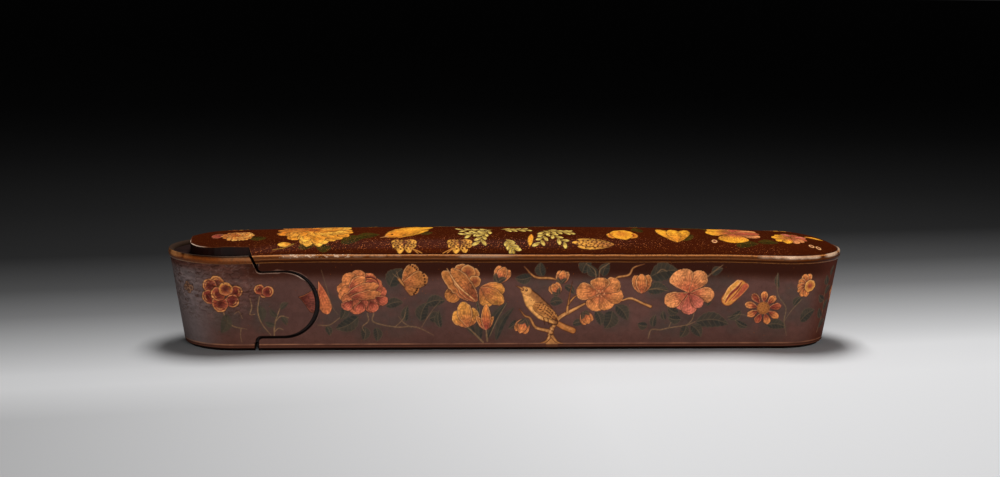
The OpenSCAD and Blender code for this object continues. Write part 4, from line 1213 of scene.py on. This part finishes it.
def top_skin(name, x, y, away, material, rows):
    """A painted skin on the dome, rubbed along its cut edge and most at the tongue's near tip."""
    canvas = Canvas(x, y, GARNET)
    paint_top(canvas)
    worn_edge(canvas, away, 0.3, RUBBED_BROWN, 0.4)
    worn_edge(canvas, away, 0.45, WORN, 0.9 * ease((-102 - canvas.u) / 5) * ease((-2 - canvas.v) / 5))
    mesh = shell(name, np.stack([x, y, dome_z(x, y)], -1), canvas, rows)
    return link(name, mesh, material, "sleeve")


def rim_path(cut, ahead):
    """The rim's outline from the cut on one side, round one end, to the cut on the other side."""
    turns = np.linspace(0, math.pi / 2, 72)[1:]
    first = np.linspace(cut, ahead * S_END, 2 * round(abs(cut - ahead * S_END)) + 1)
    s = np.concatenate([first, ahead * (S_END + S_TURN * turns)])
    front = wall_points(s, np.full(s.size, RIM_Z), -1)
    back = wall_points(s[-2::-1], np.full(s.size - 1, RIM_Z), 1)
    return np.vstack([front, back])[::ahead] * MM


# Nodes
def plug(tree, socket, value):
    """Gives an input its value, or links another node's output to it."""
    if isinstance(value, bpy.types.NodeSocket):
        tree.links.new(value, socket)
    else:
        socket.default_value = value


def add(tree, kind, links=(), **settings):
    """A node with its settings; links pairs one of its inputs with a value or with another node's output."""
    node = tree.nodes.new(kind)
    for key, value in settings.items():
        setattr(node, key, value)
    for socket, value in links:
        plug(tree, node.inputs[socket], value)
    return node


def calc(tree, kind, *terms, clamp=False):
    """The result of one sum over values or other nodes' outputs."""
    return add(tree, "ShaderNodeMath", enumerate(terms), operation=kind, use_clamp=clamp).outputs[0]


def ranged(tree, value, low, high, start=0.0, end=1.0):
    """A value from low to high, as the given one goes from start to end."""
    limits = [("Value", value), ("From Min", start), ("From Max", end), ("To Min", low), ("To Max", high)]
    return add(tree, "ShaderNodeMapRange", limits).outputs[0]


def split(tree, place):
    """The X, Y and Z of a place."""
    return add(tree, "ShaderNodeSeparateXYZ", [("Vector", place)]).outputs


def bead_sweep():
    """Geometry tree: a half-round moulding, with a fine groove along it, swept along the rim's outline."""
    tree = bpy.data.node_groups.new("rim_bead_sweep", "GeometryNodeTree")
    tree.interface.new_socket("Path", in_out="INPUT", socket_type="NodeSocketGeometry")
    for title in ("Out", "In", "Height", "Groove", "Groove Level", "Rim Level", "Cut X", "Lean"):
        tree.interface.new_socket(title, in_out="INPUT", socket_type="NodeSocketFloat")
    tree.interface.new_socket("Material", in_out="INPUT", socket_type="NodeSocketMaterial")
    tree.interface.new_socket("Bead", in_out="OUTPUT", socket_type="NodeSocketGeometry")
    given = tree.nodes.new("NodeGroupInput").outputs
    result = tree.nodes.new("NodeGroupOutput").inputs

    def step(kind, *links, **settings):
        return add(tree, "GeometryNode" + kind, links, **settings).outputs[0]

    def sums(kind, *terms, clamp=False):
        return calc(tree, kind, *terms, clamp=clamp)

    def vector(*parts):
        return add(tree, "ShaderNodeCombineXYZ", enumerate(parts)).outputs[0]

    ring = step("CurvePrimitiveCircle", ("Resolution", BEAD_SIDES), ("Radius", 1.0))
    spot = split(tree, step("InputPosition"))
    outer = sums("GREATER_THAN", spot["X"], 0.0)
    reach = sums("MULTIPLY_ADD", outer, sums("SUBTRACT", given["Out"], given["In"]), given["In"])
    level = sums("MULTIPLY", spot["Y"], sums("MULTIPLY", given["Height"], 0.5))
    off = sums("ABSOLUTE", sums("SUBTRACT", level, given["Groove Level"]))
    near = sums("SUBTRACT", 1.0, sums("DIVIDE", off, GROOVE_HALF * MM), clamp=True)
    groove = sums("MULTIPLY", sums("MULTIPLY", near, given["Groove"]), outer)
    wide = sums("SUBTRACT", sums("MULTIPLY", spot["X"], reach), groove)
    inner = sums("SUBTRACT", 0.5, spot["X"])
    marked = step("StoreNamedAttribute", ("Geometry", ring), ("Name", "inner"), ("Value", inner))
    section = step("SetPosition", ("Geometry", marked), ("Position", vector(wide, level)))

    line = step("MeshToCurve", ("Mesh", given["Path"]))
    upright = step("SetCurveNormal", ("Curve", line), mode="Z_UP")
    swept = step("CurveToMesh", ("Curve", upright), ("Profile Curve", section), ("Fill Caps", True))
    here = split(tree, step("InputPosition"))
    beside = sums("ABSOLUTE", sums("SUBTRACT", here["X"], given["Cut X"]))
    at_end = sums("SUBTRACT", 1.0, sums("DIVIDE", beside, LEAN_REACH * MM), clamp=True)
    above = sums("SUBTRACT", given["Rim Level"], here["Z"])
    slid = sums("MULTIPLY", sums("MULTIPLY", above, given["Lean"]), at_end)
    leaning = step("SetPosition", ("Geometry", swept), ("Offset", vector(slid)))
    smooth = step("SetShadeSmooth", ("Geometry", leaning))
    real = step("RealizeInstances", ("Geometry", smooth))
    finish = step("SetMaterial", ("Geometry", real), ("Material", given["Material"]))
    tree.links.new(finish, result[0])
    return tree


def rim_bead(tree, name, node, body, cut, ahead, groove, material):
    """One length of the rim's bead, in place of its plain solid."""
    path = rim_path(cut, ahead)
    line = bpy.data.meshes.new(name + "_path")
    line.from_pydata(path.tolist(), [(k, k + 1) for k in range(len(path) - 1)], [])
    guide = bpy.data.objects.new(name + "_path", line)
    bpy.context.scene.collection.objects.link(guide)
    modifier = guide.modifiers.new("sweep", "NODES")
    modifier.node_group = tree
    sizes = {"Out": BEAD_OUT * MM, "In": BEAD_IN * MM, "Height": BEAD_H * MM, "Groove": groove * MM,
             "Groove Level": GROOVE_LEVEL * MM, "Rim Level": RIM_Z * MM, "Cut X": cut * MM, "Lean": CUT_LEAN,
             "Material": material}
    for socket in tree.interface.items_tree:
        if socket.item_type == "SOCKET" and socket.name in sizes:
            modifier[socket.identifier] = sizes[socket.name]
    graph = bpy.context.evaluated_depsgraph_get()
    mesh = bpy.data.meshes.new_from_object(guide.evaluated_get(graph), depsgraph=graph)
    mesh.name = name
    bpy.data.objects.remove(guide)
    piece = bpy.data.objects.new(name, mesh)
    bpy.context.scene.collection.objects.link(piece)
    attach(piece, body)
    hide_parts(node)


# Shader groups and materials
def shader_group(name, inputs, outputs):
    """A new shader group, with its inputs and outputs: Place is a vector, and all else are values."""
    group = bpy.data.node_groups.new(name, "ShaderNodeTree")
    for title in inputs:
        kind = "NodeSocketVector" if title == "Place" else "NodeSocketFloat"
        group.interface.new_socket(title, in_out="INPUT", socket_type=kind)
    for title in outputs:
        group.interface.new_socket(title, in_out="OUTPUT", socket_type="NodeSocketFloat")
    return group, group.nodes.new("NodeGroupInput").outputs, group.nodes.new("NodeGroupOutput").inputs


def cloudy(tree, place, scale, detail):
    """Noise at a place."""
    return add(tree, "ShaderNodeTexNoise", [("Vector", place), ("Scale", scale), ("Detail", detail)]).outputs


def channels(tree, paint):
    """The red, green and blue of a colour."""
    return add(tree, "ShaderNodeSeparateColor", [("Color", paint)]).outputs


def varnish_group():
    """Old varnish: a soft ripple, fine cracks and patches of duller gloss."""
    outputs = ("Height", "Dull", "Crack")
    group, given, result = shader_group("old_varnish", ("Place", "Ripple", "Crack"), outputs)
    place = given["Place"]
    warp = cloudy(group, place, 300.0, 2.0)["Color"]
    bent = add(group, "ShaderNodeVectorMath", [(0, warp), (1, [CRACK_WARP * MM] * 3), (2, place)],
               operation="MULTIPLY_ADD").outputs[0]
    cells = add(group, "ShaderNodeTexVoronoi", [("Vector", bent), ("Scale", 420.0)],
                feature="DISTANCE_TO_EDGE").outputs
    crack = ranged(group, cells["Distance"], 1.0, 0.0, 0.0, 0.05)
    cracked = calc(group, "MULTIPLY", crack, given["Crack"])
    rippled = calc(group, "MULTIPLY", cloudy(group, place, 260.0, 3.0)[0], given["Ripple"])
    group.links.new(calc(group, "SUBTRACT", rippled, cracked), result["Height"])
    group.links.new(cloudy(group, place, 55.0, 4.0)[0], result["Dull"])
    group.links.new(cracked, result["Crack"])
    return group


def fleck_group():
    """Metal flecks strewn in varnish: a mask of small scattered grains."""
    group, given, result = shader_group("strewn_flecks", ("Place", "Scale", "Share"), ("Mask", "Tone"))
    links = [("Vector", given["Place"]), ("Scale", given["Scale"])]
    cells = add(group, "ShaderNodeTexVoronoi", links).outputs
    pick = channels(group, cells["Color"])
    chosen = calc(group, "LESS_THAN", pick[0], given["Share"])
    grain = ranged(group, cells["Distance"], 1.0, 0.0, 0.2, 0.5)
    group.links.new(calc(group, "MULTIPLY", chosen, grain), result["Mask"])
    group.links.new(pick[1], result["Tone"])
    return group


def blotch_group():
    """Uneven age: soft blotches and fine speckle, around 0.5."""
    group, given, result = shader_group("uneven_age", ("Place", "Scale"), ("Blotch", "Speckle"))
    finer = calc(group, "MULTIPLY", given["Scale"], 9.0)
    group.links.new(cloudy(group, given["Place"], given["Scale"], 5.0)[0], result["Blotch"])
    group.links.new(cloudy(group, given["Place"], finer, 2.0)[0], result["Speckle"])
    return group


def vine_group():
    """A waving stem along X with a leaf on each side in turn: a mask, around a given height."""
    group, given, result = shader_group("gilt_vine", ("Place", "Level"), ("Mask",))
    pitch, reach = 0.032, 0.003
    leaf_long, leaf_wide, leaf_off, leaf_lean = 0.0024, 0.001, 0.0018, 0.62
    between_leaves = pitch / 5
    upright = math.sqrt(1 - leaf_lean ** 2)
    spot = split(group, given["Place"])

    def sums(kind, *terms):
        return calc(group, kind, *terms)

    def wave(x):
        turn = sums("MULTIPLY", x, 2 * math.pi / pitch)
        return sums("MULTIPLY_ADD", sums("SINE", turn), reach, given["Level"])

    off = sums("ABSOLUTE", sums("SUBTRACT", spot["Z"], wave(spot["X"])))
    stem = ranged(group, off, 1.0, 0.0, 0.00018, 0.00034)
    cell = sums("FLOOR", sums("DIVIDE", spot["X"], between_leaves))
    middle = sums("MULTIPLY", sums("ADD", cell, 0.5), between_leaves)
    side = sums("MULTIPLY_ADD", sums("FLOORED_MODULO", cell, 2.0), 2.0, -1.0)
    root = sums("MULTIPLY_ADD", side, leaf_off, wave(middle))
    up = sums("SUBTRACT", spot["Z"], root)
    along = sums("SUBTRACT", spot["X"], middle)
    lean = sums("MULTIPLY", side, leaf_lean)
    far = sums("MULTIPLY_ADD", up, lean, sums("MULTIPLY", along, upright))
    across = sums("SUBTRACT", sums("MULTIPLY", up, upright), sums("MULTIPLY", along, lean))
    narrow = sums("ABSOLUTE", sums("DIVIDE", across, leaf_wide))
    pointed = sums("POWER", sums("ABSOLUTE", sums("DIVIDE", far, leaf_long)), 2.0)
    leaf_mask = ranged(group, sums("ADD", narrow, pointed), 1.0, 0.0, 0.8, 1.0)
    group.links.new(sums("MAXIMUM", stem, leaf_mask), result["Mask"])
    return group


VARNISH = varnish_group()
FLECKS = fleck_group()
AGE = blotch_group()
VINE = vine_group()


def finish_of(name):
    """A new material with its shader and Object coordinates."""
    material = bpy.data.materials.new(name)
    material.use_nodes = True
    tree = material.node_tree
    place = add(tree, "ShaderNodeTexCoord").outputs["Object"]
    return material, tree, tree.nodes["Principled BSDF"], place


def group_node(tree, group, **values):
    """What a shader group puts out for the given values."""
    return add(tree, "ShaderNodeGroup", values.items(), node_tree=group).outputs


def attribute(tree, name):
    return add(tree, "ShaderNodeAttribute", attribute_name=name).outputs


def blend(tree, factor, a, b):
    """Colour a changed towards colour b by the factor."""
    links = [("Factor", factor), ("A", a), ("B", b)]
    return add(tree, "ShaderNodeMix", links, data_type="RGBA").outputs["Result"]


def paint_value(rgb):
    return (*to_linear(rgb), 1.0)


def toned(tree, value, stops):
    """A colour that follows the value through the stops, each a place from 0 to 1 and its colour."""
    ramp = add(tree, "ShaderNodeValToRGB", [(0, value)])
    band = ramp.color_ramp.elements
    band[0].position, band[0].color = stops[0]
    band[1].position, band[1].color = stops[-1]
    for place, tone in stops[1:-1]:
        band.new(place).color = tone
    return ramp.outputs[0]


def surface(tree, shader, tone, rough, height, bump, fixed):
    """Gives a shader its colour, roughness and bump, and the values that are the same all over."""
    links = [("Height", height), ("Strength", bump), ("Distance", BUMP_DEPTH * MM)]
    raised = add(tree, "ShaderNodeBump", links)
    tree.links.new(tone, shader.inputs["Base Color"])
    tree.links.new(rough, shader.inputs["Roughness"])
    tree.links.new(raised.outputs[0], shader.inputs["Normal"])
    for title, value in fixed.items():
        shader.inputs[title].default_value = value


def painted_lacquer(name, flecks, ripple, crack, gloss):
    """Paint under varnish: the skin's own picture, with metal flecks in the ground, cracks and worn edges."""
    material, tree, shader, place = finish_of(name)
    picture = attribute(tree, "paint")["Color"]
    masks = channels(tree, attribute(tree, "finish")["Color"])
    varnish = group_node(tree, VARNISH, Place=place, Ripple=ripple, Crack=crack)
    speckle = group_node(tree, AGE, Place=place, Scale=70.0)["Speckle"]
    picture = blend(tree, ranged(tree, speckle, 0.0, 0.175, 0.35, 0.75), picture, paint_value(UMBER))
    strewn = group_node(tree, FLECKS, Place=place, Scale=3400.0, Share=flecks)
    in_ground = ranged(tree, channels(tree, picture)[0], 1.0, 0.0, 0.08, 0.3)
    shine = calc(tree, "MULTIPLY", strewn["Mask"], in_ground)
    fleck_tone = blend(tree, strewn["Tone"], paint_value(FLECK_DARK), paint_value(FLECK_BRIGHT))
    picture = blend(tree, shine, picture, fleck_tone)
    picture = blend(tree, ranged(tree, varnish["Crack"], 0.0, 0.5), picture, paint_value(UMBER))
    metal = ranged(tree, calc(tree, "MAXIMUM", masks[0], shine), 0.0, 0.6)
    tree.links.new(metal, shader.inputs["Metallic"])
    dull = ranged(tree, varnish["Dull"], 0.3, 0.46, 0.3, 0.7)
    rough = calc(tree, "MULTIPLY_ADD", masks[1], 0.35, dull)
    surface(tree, shader, picture, rough, varnish["Height"], 0.35,
            {"Specular IOR Level": 0.0, "Coat Weight": gloss, "Coat Roughness": 0.2})
    return material


def gilded_wall(tree, place, tone, blotch, corner, dark):
    """Dark lacquer with a worn gilt vine on the trough's outer wall, whose high corner is given."""
    spot = split(tree, place)
    length, width, height = corner
    bare_to = CUT_X + SIDE_TONGUE_L + VINE_GAP
    past = calc(tree, "SUBTRACT", calc(tree, "ABSOLUTE", spot["X"]), (length - width) * MM)
    past = calc(tree, "MAXIMUM", past, 0.0)
    reach = add(tree, "ShaderNodeCombineXYZ", [(0, past), (1, spot["Y"])]).outputs[0]
    ring = add(tree, "ShaderNodeVectorMath", [(0, reach)], operation="LENGTH").outputs["Value"]
    vine = group_node(tree, VINE, Place=place, Level=height / 2 * MM)["Mask"]
    rubbed = ranged(tree, blotch, 0.85, 0.3, 0.4, 0.62)
    behind = ranged(tree, spot["X"], 0.0, 1.0, bare_to * MM, (bare_to + 1) * MM)
    gilded = calc(tree, "MULTIPLY", calc(tree, "MULTIPLY", vine, rubbed), behind)
    shown = blend(tree, gilded, paint_value(dark), paint_value(VINE_GILT))
    return blend(tree, ranged(tree, ring, 0.0, 1.0, (width - 0.3) * MM, (width - 0.1) * MM), tone, shown)


def plain_finish(name, low, high, scale, rough, metallic=0.0, crack=0.0, gloss=0.5, grain=(1, 1, 1), marks=(),
                 outside=None):
    """A worn finish between two tones, with its grain along one way. Each mark has its axis and centre,
    how far off it starts and is full, its tone and whether it is patchy; outside is for gilded_wall."""
    material, tree, shader, place = finish_of(name)
    along = add(tree, "ShaderNodeVectorMath", [(0, place), (1, grain)], operation="MULTIPLY").outputs[0]
    age = group_node(tree, AGE, Place=along, Scale=scale)
    varnish = group_node(tree, VARNISH, Place=along, Ripple=0.5, Crack=crack)
    tone = blend(tree, ranged(tree, age["Blotch"], 0.0, 1.0, 0.32, 0.68), paint_value(low), paint_value(high))
    tone = blend(tree, ranged(tree, age["Speckle"], 0.0, 0.4, 0.5, 0.75), tone, paint_value(low * 0.6))
    tone = blend(tree, ranged(tree, varnish["Crack"], 0.0, 0.6), tone, paint_value(low * 0.5))
    spot = split(tree, place)
    for axis, centre, start, full, paint, patchy in marks:
        away = calc(tree, "ABSOLUTE", calc(tree, "SUBTRACT", spot[axis], centre * MM))
        share = ranged(tree, away, 0.0, 1.0, start * MM, full * MM)
        if patchy:
            stain = group_node(tree, AGE, Place=place, Scale=160.0)["Blotch"]
            share = calc(tree, "MULTIPLY", share, ranged(tree, stain, 0.0, 1.0, 0.42, 0.56))
        tone = blend(tree, share, tone, paint_value(paint))
    if outside:
        tone = gilded_wall(tree, place, tone, age["Blotch"], *outside)
    surface(tree, shader, tone, ranged(tree, age["Blotch"], *rough, 0.3, 0.7), varnish["Height"], 0.3,
            {"Metallic": metallic, "Specular IOR Level": gloss})
    return material


def lined_bead(name, tones, rubs_and_glints, crest_at, shade_from, gloss, rub_and_glint_tone):
    """Lacquer on the bead: lines by height, painted shade on its dull inner side, and a crest that is rubbed
    pale on the front in stretches, or given a painted highlight there, each with its middle, half length,
    fade, share and whether it is chipped. crest_at has the heights where the crest starts and is full;
    shade_from is where the painted shade starts."""
    material, tree, shader, place = finish_of(name)
    spot = split(tree, place)
    age = group_node(tree, AGE, Place=place, Scale=120.0)
    varnish = group_node(tree, VARNISH, Place=place, Ripple=0.6, Crack=0.2)
    wobble = ranged(tree, age["Blotch"], -LINE_WOBBLE * MM, LINE_WOBBLE * MM, 0.3, 0.7)
    level = calc(tree, "ADD", spot["Z"], wobble)
    share = ranged(tree, level, 0.0, 1.0, (RIM_Z - LINES_HALF) * MM, (RIM_Z + LINES_HALF) * MM)
    stops = [((height + LINES_HALF) / (2 * LINES_HALF), paint_value(tone)) for height, tone in tones]
    tone = toned(tree, share, stops)
    tone = blend(tree, ranged(tree, age["Speckle"], 0.0, 0.5, 0.5, 0.7), tone, paint_value(UMBER))
    crest = ranged(tree, level, 0.0, 1.0, (RIM_Z + crest_at[0]) * MM, (RIM_Z + crest_at[1]) * MM)
    front = ranged(tree, spot["Y"], 1.0, 0.0, -6 * MM, 4 * MM)
    patchy = ranged(tree, age["Blotch"], 0.0, 1.0, 0.4, 0.55)
    chips = ranged(tree, age["Speckle"], 0.0, 1.0, 0.54, 0.6)
    # Rubbed stretches of the crest, and the head bead's painted highlight at its left end, on the front only
    rubbed = 0.0
    for middle, half, fade, share, chipped in rubs_and_glints:
        away = calc(tree, "ABSOLUTE", calc(tree, "SUBTRACT", spot["X"], middle * MM))
        stretch = ranged(tree, away, share, 0.0, half * MM, (half + fade) * MM)
        rubbed = calc(tree, "MAXIMUM", rubbed, calc(tree, "MULTIPLY", stretch, chips if chipped else patchy))
    bare = calc(tree, "MULTIPLY", calc(tree, "MULTIPLY", crest, rubbed), front)
    tone = blend(tree, bare, tone, paint_value(rub_and_glint_tone))
    # Painted shade on the bead's inner side, which is also made rough
    shade = ranged(tree, attribute(tree, "inner")["Fac"], 0.0, 1.0, shade_from, shade_from + 0.4)
    tone = blend(tree, shade, tone, paint_value(BEAD_SHADE))
    rough = ranged(tree, age["Blotch"], 0.28, 0.45, 0.3, 0.7)
    rough = calc(tree, "MAXIMUM", rough, calc(tree, "MULTIPLY", shade, 0.9))
    surface(tree, shader, tone, rough, varnish["Height"], 0.3,
            {"Specular IOR Level": gloss, "Specular Tint": (1.0, 0.6, 0.3, 1.0)})
    return material


SIDE_LACQUER = painted_lacquer("side_lacquer", flecks=0.004, ripple=0.6, crack=0.25, gloss=0.08)
TOP_LACQUER = painted_lacquer("top_lacquer", flecks=0.2, ripple=0.4, crack=0.1, gloss=0.006)
sleeve_walls(SIDE_LACQUER)
head_walls(SIDE_LACQUER)
sleeve_top(TOP_LACQUER)

# Beads: the tones of their lines by height over the rim
GILDED_LINES = [(-1.4, colour(48, 20, 6)), (-1.28, colour(116, 70, 34)), (-1.14, colour(110, 66, 32)),
                (-1.0, colour(44, 11, 1)), (-0.34, colour(46, 12, 1)), (-0.16, colour(92, 42, 8)),
                (0.3, colour(72, 28, 3)), (0.86, colour(78, 32, 5)), (1.04, colour(196, 124, 68)),
                (1.22, colour(188, 118, 62)), (1.36, colour(104, 50, 14))]
# The head bead's lines turn near black at its top, painted shade like that on its inner side
RUBBED_LINES = [(-1.4, colour(56, 26, 8)), (-1.26, colour(150, 104, 64)), (-1.08, colour(80, 34, 7)),
                (-0.4, colour(88, 38, 7)), (0.3, colour(116, 54, 12)), (0.8, colour(98, 44, 10)),
                (1.1, colour(44, 18, 7)), (1.4, colour(30, 12, 6))]
GILDED_RUBS = [(112, 22, 6, 0.9, False), (-40, 34, 10, 0.27, False), (-67, 10, 4, 0.9, True)]
# The head bead's one stretch is a painted highlight at its left end, in the peach tone given below
HEAD_BEAD_GLINT = [(-116, 3, 5, 0.55, False)]
GILDED_BEAD = lined_bead("gilded_bead_lacquer", GILDED_LINES, GILDED_RUBS, crest_at=(0.1, 0.8),
                         shade_from=0.5, gloss=0.1, rub_and_glint_tone=colour(222, 184, 152))
RUBBED_BEAD = lined_bead("rubbed_bead_lacquer", RUBBED_LINES, HEAD_BEAD_GLINT, crest_at=(-0.5, 0.2),
                         shade_from=0.0, gloss=0.36, rub_and_glint_tone=colour(232, 156, 92))
BEAD_CUT = cut_x_at(RIM_Z)
SWEEP = bead_sweep()
rim_bead(SWEEP, "sleeve_bead", "sleeve_rim_bead", "sleeve", BEAD_CUT + CUT_GAP, 1, 0.12, GILDED_BEAD)
rim_bead(SWEEP, "head_bead", "head_rim_bead", "drawer", BEAD_CUT, -1, 0.03, RUBBED_BEAD)


def node_box(name):
    """The low and high corners of a solid, in millimetres."""
    corners = np.array([corner[:] for corner in frame["nodes"][name].bound_box]) / MM
    return corners.min(0), corners.max(0)


# Solids
TROUGH_HIGH = node_box("drawer_trough")[1]
TROUGH_RIM = TROUGH_HIGH[2]
POT_LOW, POT_HIGH = node_box("inkwell_pot")
POT_X = (POT_LOW[0] + POT_HIGH[0]) / 2
BAR_END = node_box("nib_bar")[1][0]
TROUGH_MARKS = (("X", POT_X, 30, 12, INK, True), ("Z", TROUGH_RIM, 1.3, 1.0, GILT, False),
                ("Z", TROUGH_RIM, 0.3, 0.1, colour(112, 52, 28), False))
BRASS_MARKS = (("Z", POT_LOW[2], 4, 0, colour(70, 48, 24), True),)
BONE_MARKS = (("X", BAR_END, 14, 3, INK, True),)
FINISHES = {
    "lacquered_shell": plain_finish("bare_lacquer", colour(18, 7, 5), colour(38, 15, 10), 90.0, (0.4, 0.6),
                                    gloss=0.06),
    "gilded_bead": plain_finish("bead_core", colour(92, 46, 16), colour(142, 84, 36), 120.0, (0.25, 0.45)),
    "worn_bead": plain_finish("rubbed_core", colour(84, 36, 10), colour(120, 60, 20), 80.0, (0.2, 0.4)),
    "red_trough": plain_finish("trough_lacquer", colour(96, 24, 14), colour(134, 44, 24), 60.0, (0.3, 0.5),
                               crack=0.15, gloss=0.12, marks=TROUGH_MARKS,
                               outside=(TROUGH_HIGH, colour(24, 9, 6))),
    "inkwell_brass": plain_finish("aged_brass", colour(112, 76, 32), colour(206, 162, 86), 150.0, (0.25, 0.5),
                                  metallic=1.0, marks=BRASS_MARKS),
    "bone": plain_finish("old_bone", colour(190, 164, 118), colour(232, 218, 186), 70.0, (0.25, 0.45),
                         crack=0.2, grain=(0.12, 1, 1), marks=BONE_MARKS),
    "blade_steel": plain_finish("ground_steel", colour(104, 104, 106), colour(196, 196, 194), 200.0,
                                (0.2, 0.4), metallic=1.0, grain=(0.06, 1, 1)),
}


def reed_finish(name):
    """Polished reed with two dark knots and an inky tip."""
    tip = node_box(name)[1][0]
    knots = [("X", tip - REED_KNOT * k, 0.9, 0.3, colour(92, 48, 20), False) for k in (1, 2)]
    return plain_finish("polished_" + name, colour(112, 62, 24), colour(184, 124, 62), 110.0, (0.3, 0.5),
                        grain=(0.07, 1, 1), marks=[*knots, ("X", tip, 15, 6, INK, False)])


for row in frame["record"]["subparts"]:
    solid = frame["nodes"][row["node"]]
    solid.data.materials.clear()
    reed = row["material_slot"] == "reed"
    solid.data.materials.append(reed_finish(row["node"]) if reed else FINISHES[row["material_slot"]])


# Stage, light and camera. The floor's tone goes by the distance back in metres, which grows a little towards
# the left. Its scale starts FLOOR_START before the box, and half of it is used up FLOOR_BEND from there.
FLOOR_SHADE = ((-0.2, 0.79), (-0.08, 0.78), (-0.04, 0.72), (-0.015, 0.57), (0.02, 0.4), (0.08, 0.165),
               (0.136, 0.066), (0.22, 0.018), (0.37, 0.0115), (0.65, 0.0068), (1.1, 0.0045), (5.0, 0.016))
FLOOR_START = 0.2
FLOOR_BEND = 0.5
FLOOR_TURN = -0.21
FLOOR_REACH = 6.0
LEFT_DIM = 0.42
BLACK = (0.0, 0.0, 0.0, 1.0)


def floor_piece():
    """A plain pale floor that falls into shade further back and, close by, towards the left."""
    mesh = bpy.data.meshes.new("floor")
    corners = [(FLOOR_REACH * x, FLOOR_REACH * y, 0) for x, y in ((-1, -1), (1, -1), (1, 1), (-1, 1))]
    mesh.from_pydata(corners, [], [(0, 1, 2, 3)])
    floor = bpy.data.objects.new("floor", mesh)
    bpy.context.scene.collection.objects.link(floor)
    material, tree, shader, place = finish_of("pale_floor")
    spot = split(tree, place)
    depth = calc(tree, "MULTIPLY_ADD", spot["X"], FLOOR_TURN, spot["Y"])
    past = calc(tree, "MAXIMUM", calc(tree, "ADD", depth, FLOOR_START), 0.0)
    share = calc(tree, "DIVIDE", past, calc(tree, "ADD", past, FLOOR_BEND))
    stops = []
    for metres, grey in FLOOR_SHADE:
        far = metres + FLOOR_START
        stops.append((far / (far + FLOOR_BEND), (grey, grey, grey * 1.01, 1)))
    close = ranged(tree, depth, 1.0, 0.0, -0.08, -0.02)
    leftward = ranged(tree, spot["X"], LEFT_DIM, 0.0, -0.17, 0.02)
    tone = blend(tree, calc(tree, "MULTIPLY", close, leftward), toned(tree, share, stops), BLACK)
    tree.links.new(tone, shader.inputs["Base Color"])
    shader.inputs["Roughness"].default_value = 0.7
    shader.inputs["Specular IOR Level"].default_value = 0.05
    mesh.materials.append(material)


def soft_light(name, place, aim, size, watts):
    data = bpy.data.lights.new(name, "AREA")
    data.shape = "RECTANGLE"
    data.size, data.size_y = size
    data.energy = watts
    lamp = bpy.data.objects.new(name, data)
    bpy.context.scene.collection.objects.link(lamp)
    lamp.location = place
    lamp.rotation_euler = (Vector(aim) - Vector(place)).to_track_quat("-Z", "Y").to_euler()


def photo_camera():
    """The photograph's view: focal length in image widths, aim in millimetres, angles in degrees."""
    focal, distance = 1.8527, 650
    aim = Vector((-3.0, 0, 36.1)) * MM
    rise, yaw, roll = (math.radians(a) for a in (8.64, -4.8, 0.77))
    back = Vector((math.sin(yaw) * math.cos(rise), -math.cos(yaw) * math.cos(rise), math.sin(rise)))
    right = (-back).cross(Vector((0, 0, 1))).normalized()
    up = right.cross(-back)
    tilted = right * math.cos(roll) + up * math.sin(roll)
    up = up * math.cos(roll) - right * math.sin(roll)
    data = bpy.data.cameras.new("photo_view")
    data.sensor_width = 36
    data.lens = focal * data.sensor_width
    data.clip_start, data.clip_end = 0.01, 30
    camera = bpy.data.objects.new("photo_view", data)
    bpy.context.scene.collection.objects.link(camera)
    place = aim + back * distance * MM
    turn = Matrix((tilted, up, back)).transposed().to_4x4()
    camera.matrix_world = Matrix.Translation(place) @ turn
    bpy.context.scene.camera = camera


floor_piece()
soft_light("overhead", (0.02, 0.2, 0.7), (0, 0, 0), (0.22, 0.4), 5.4)
soft_light("front", (0.1, -1.1, 0.2), (0, 0, 0.02), (0.8, 0.24), 8.8)
photo_camera()
world = bpy.data.worlds.new("dim_room")
world.use_nodes = True
world.node_tree.nodes["Background"].inputs["Color"].default_value = (0.01, 0.01, 0.01, 1)
bpy.context.scene.world = world
bpy.context.scene.view_settings.view_transform = "Standard"
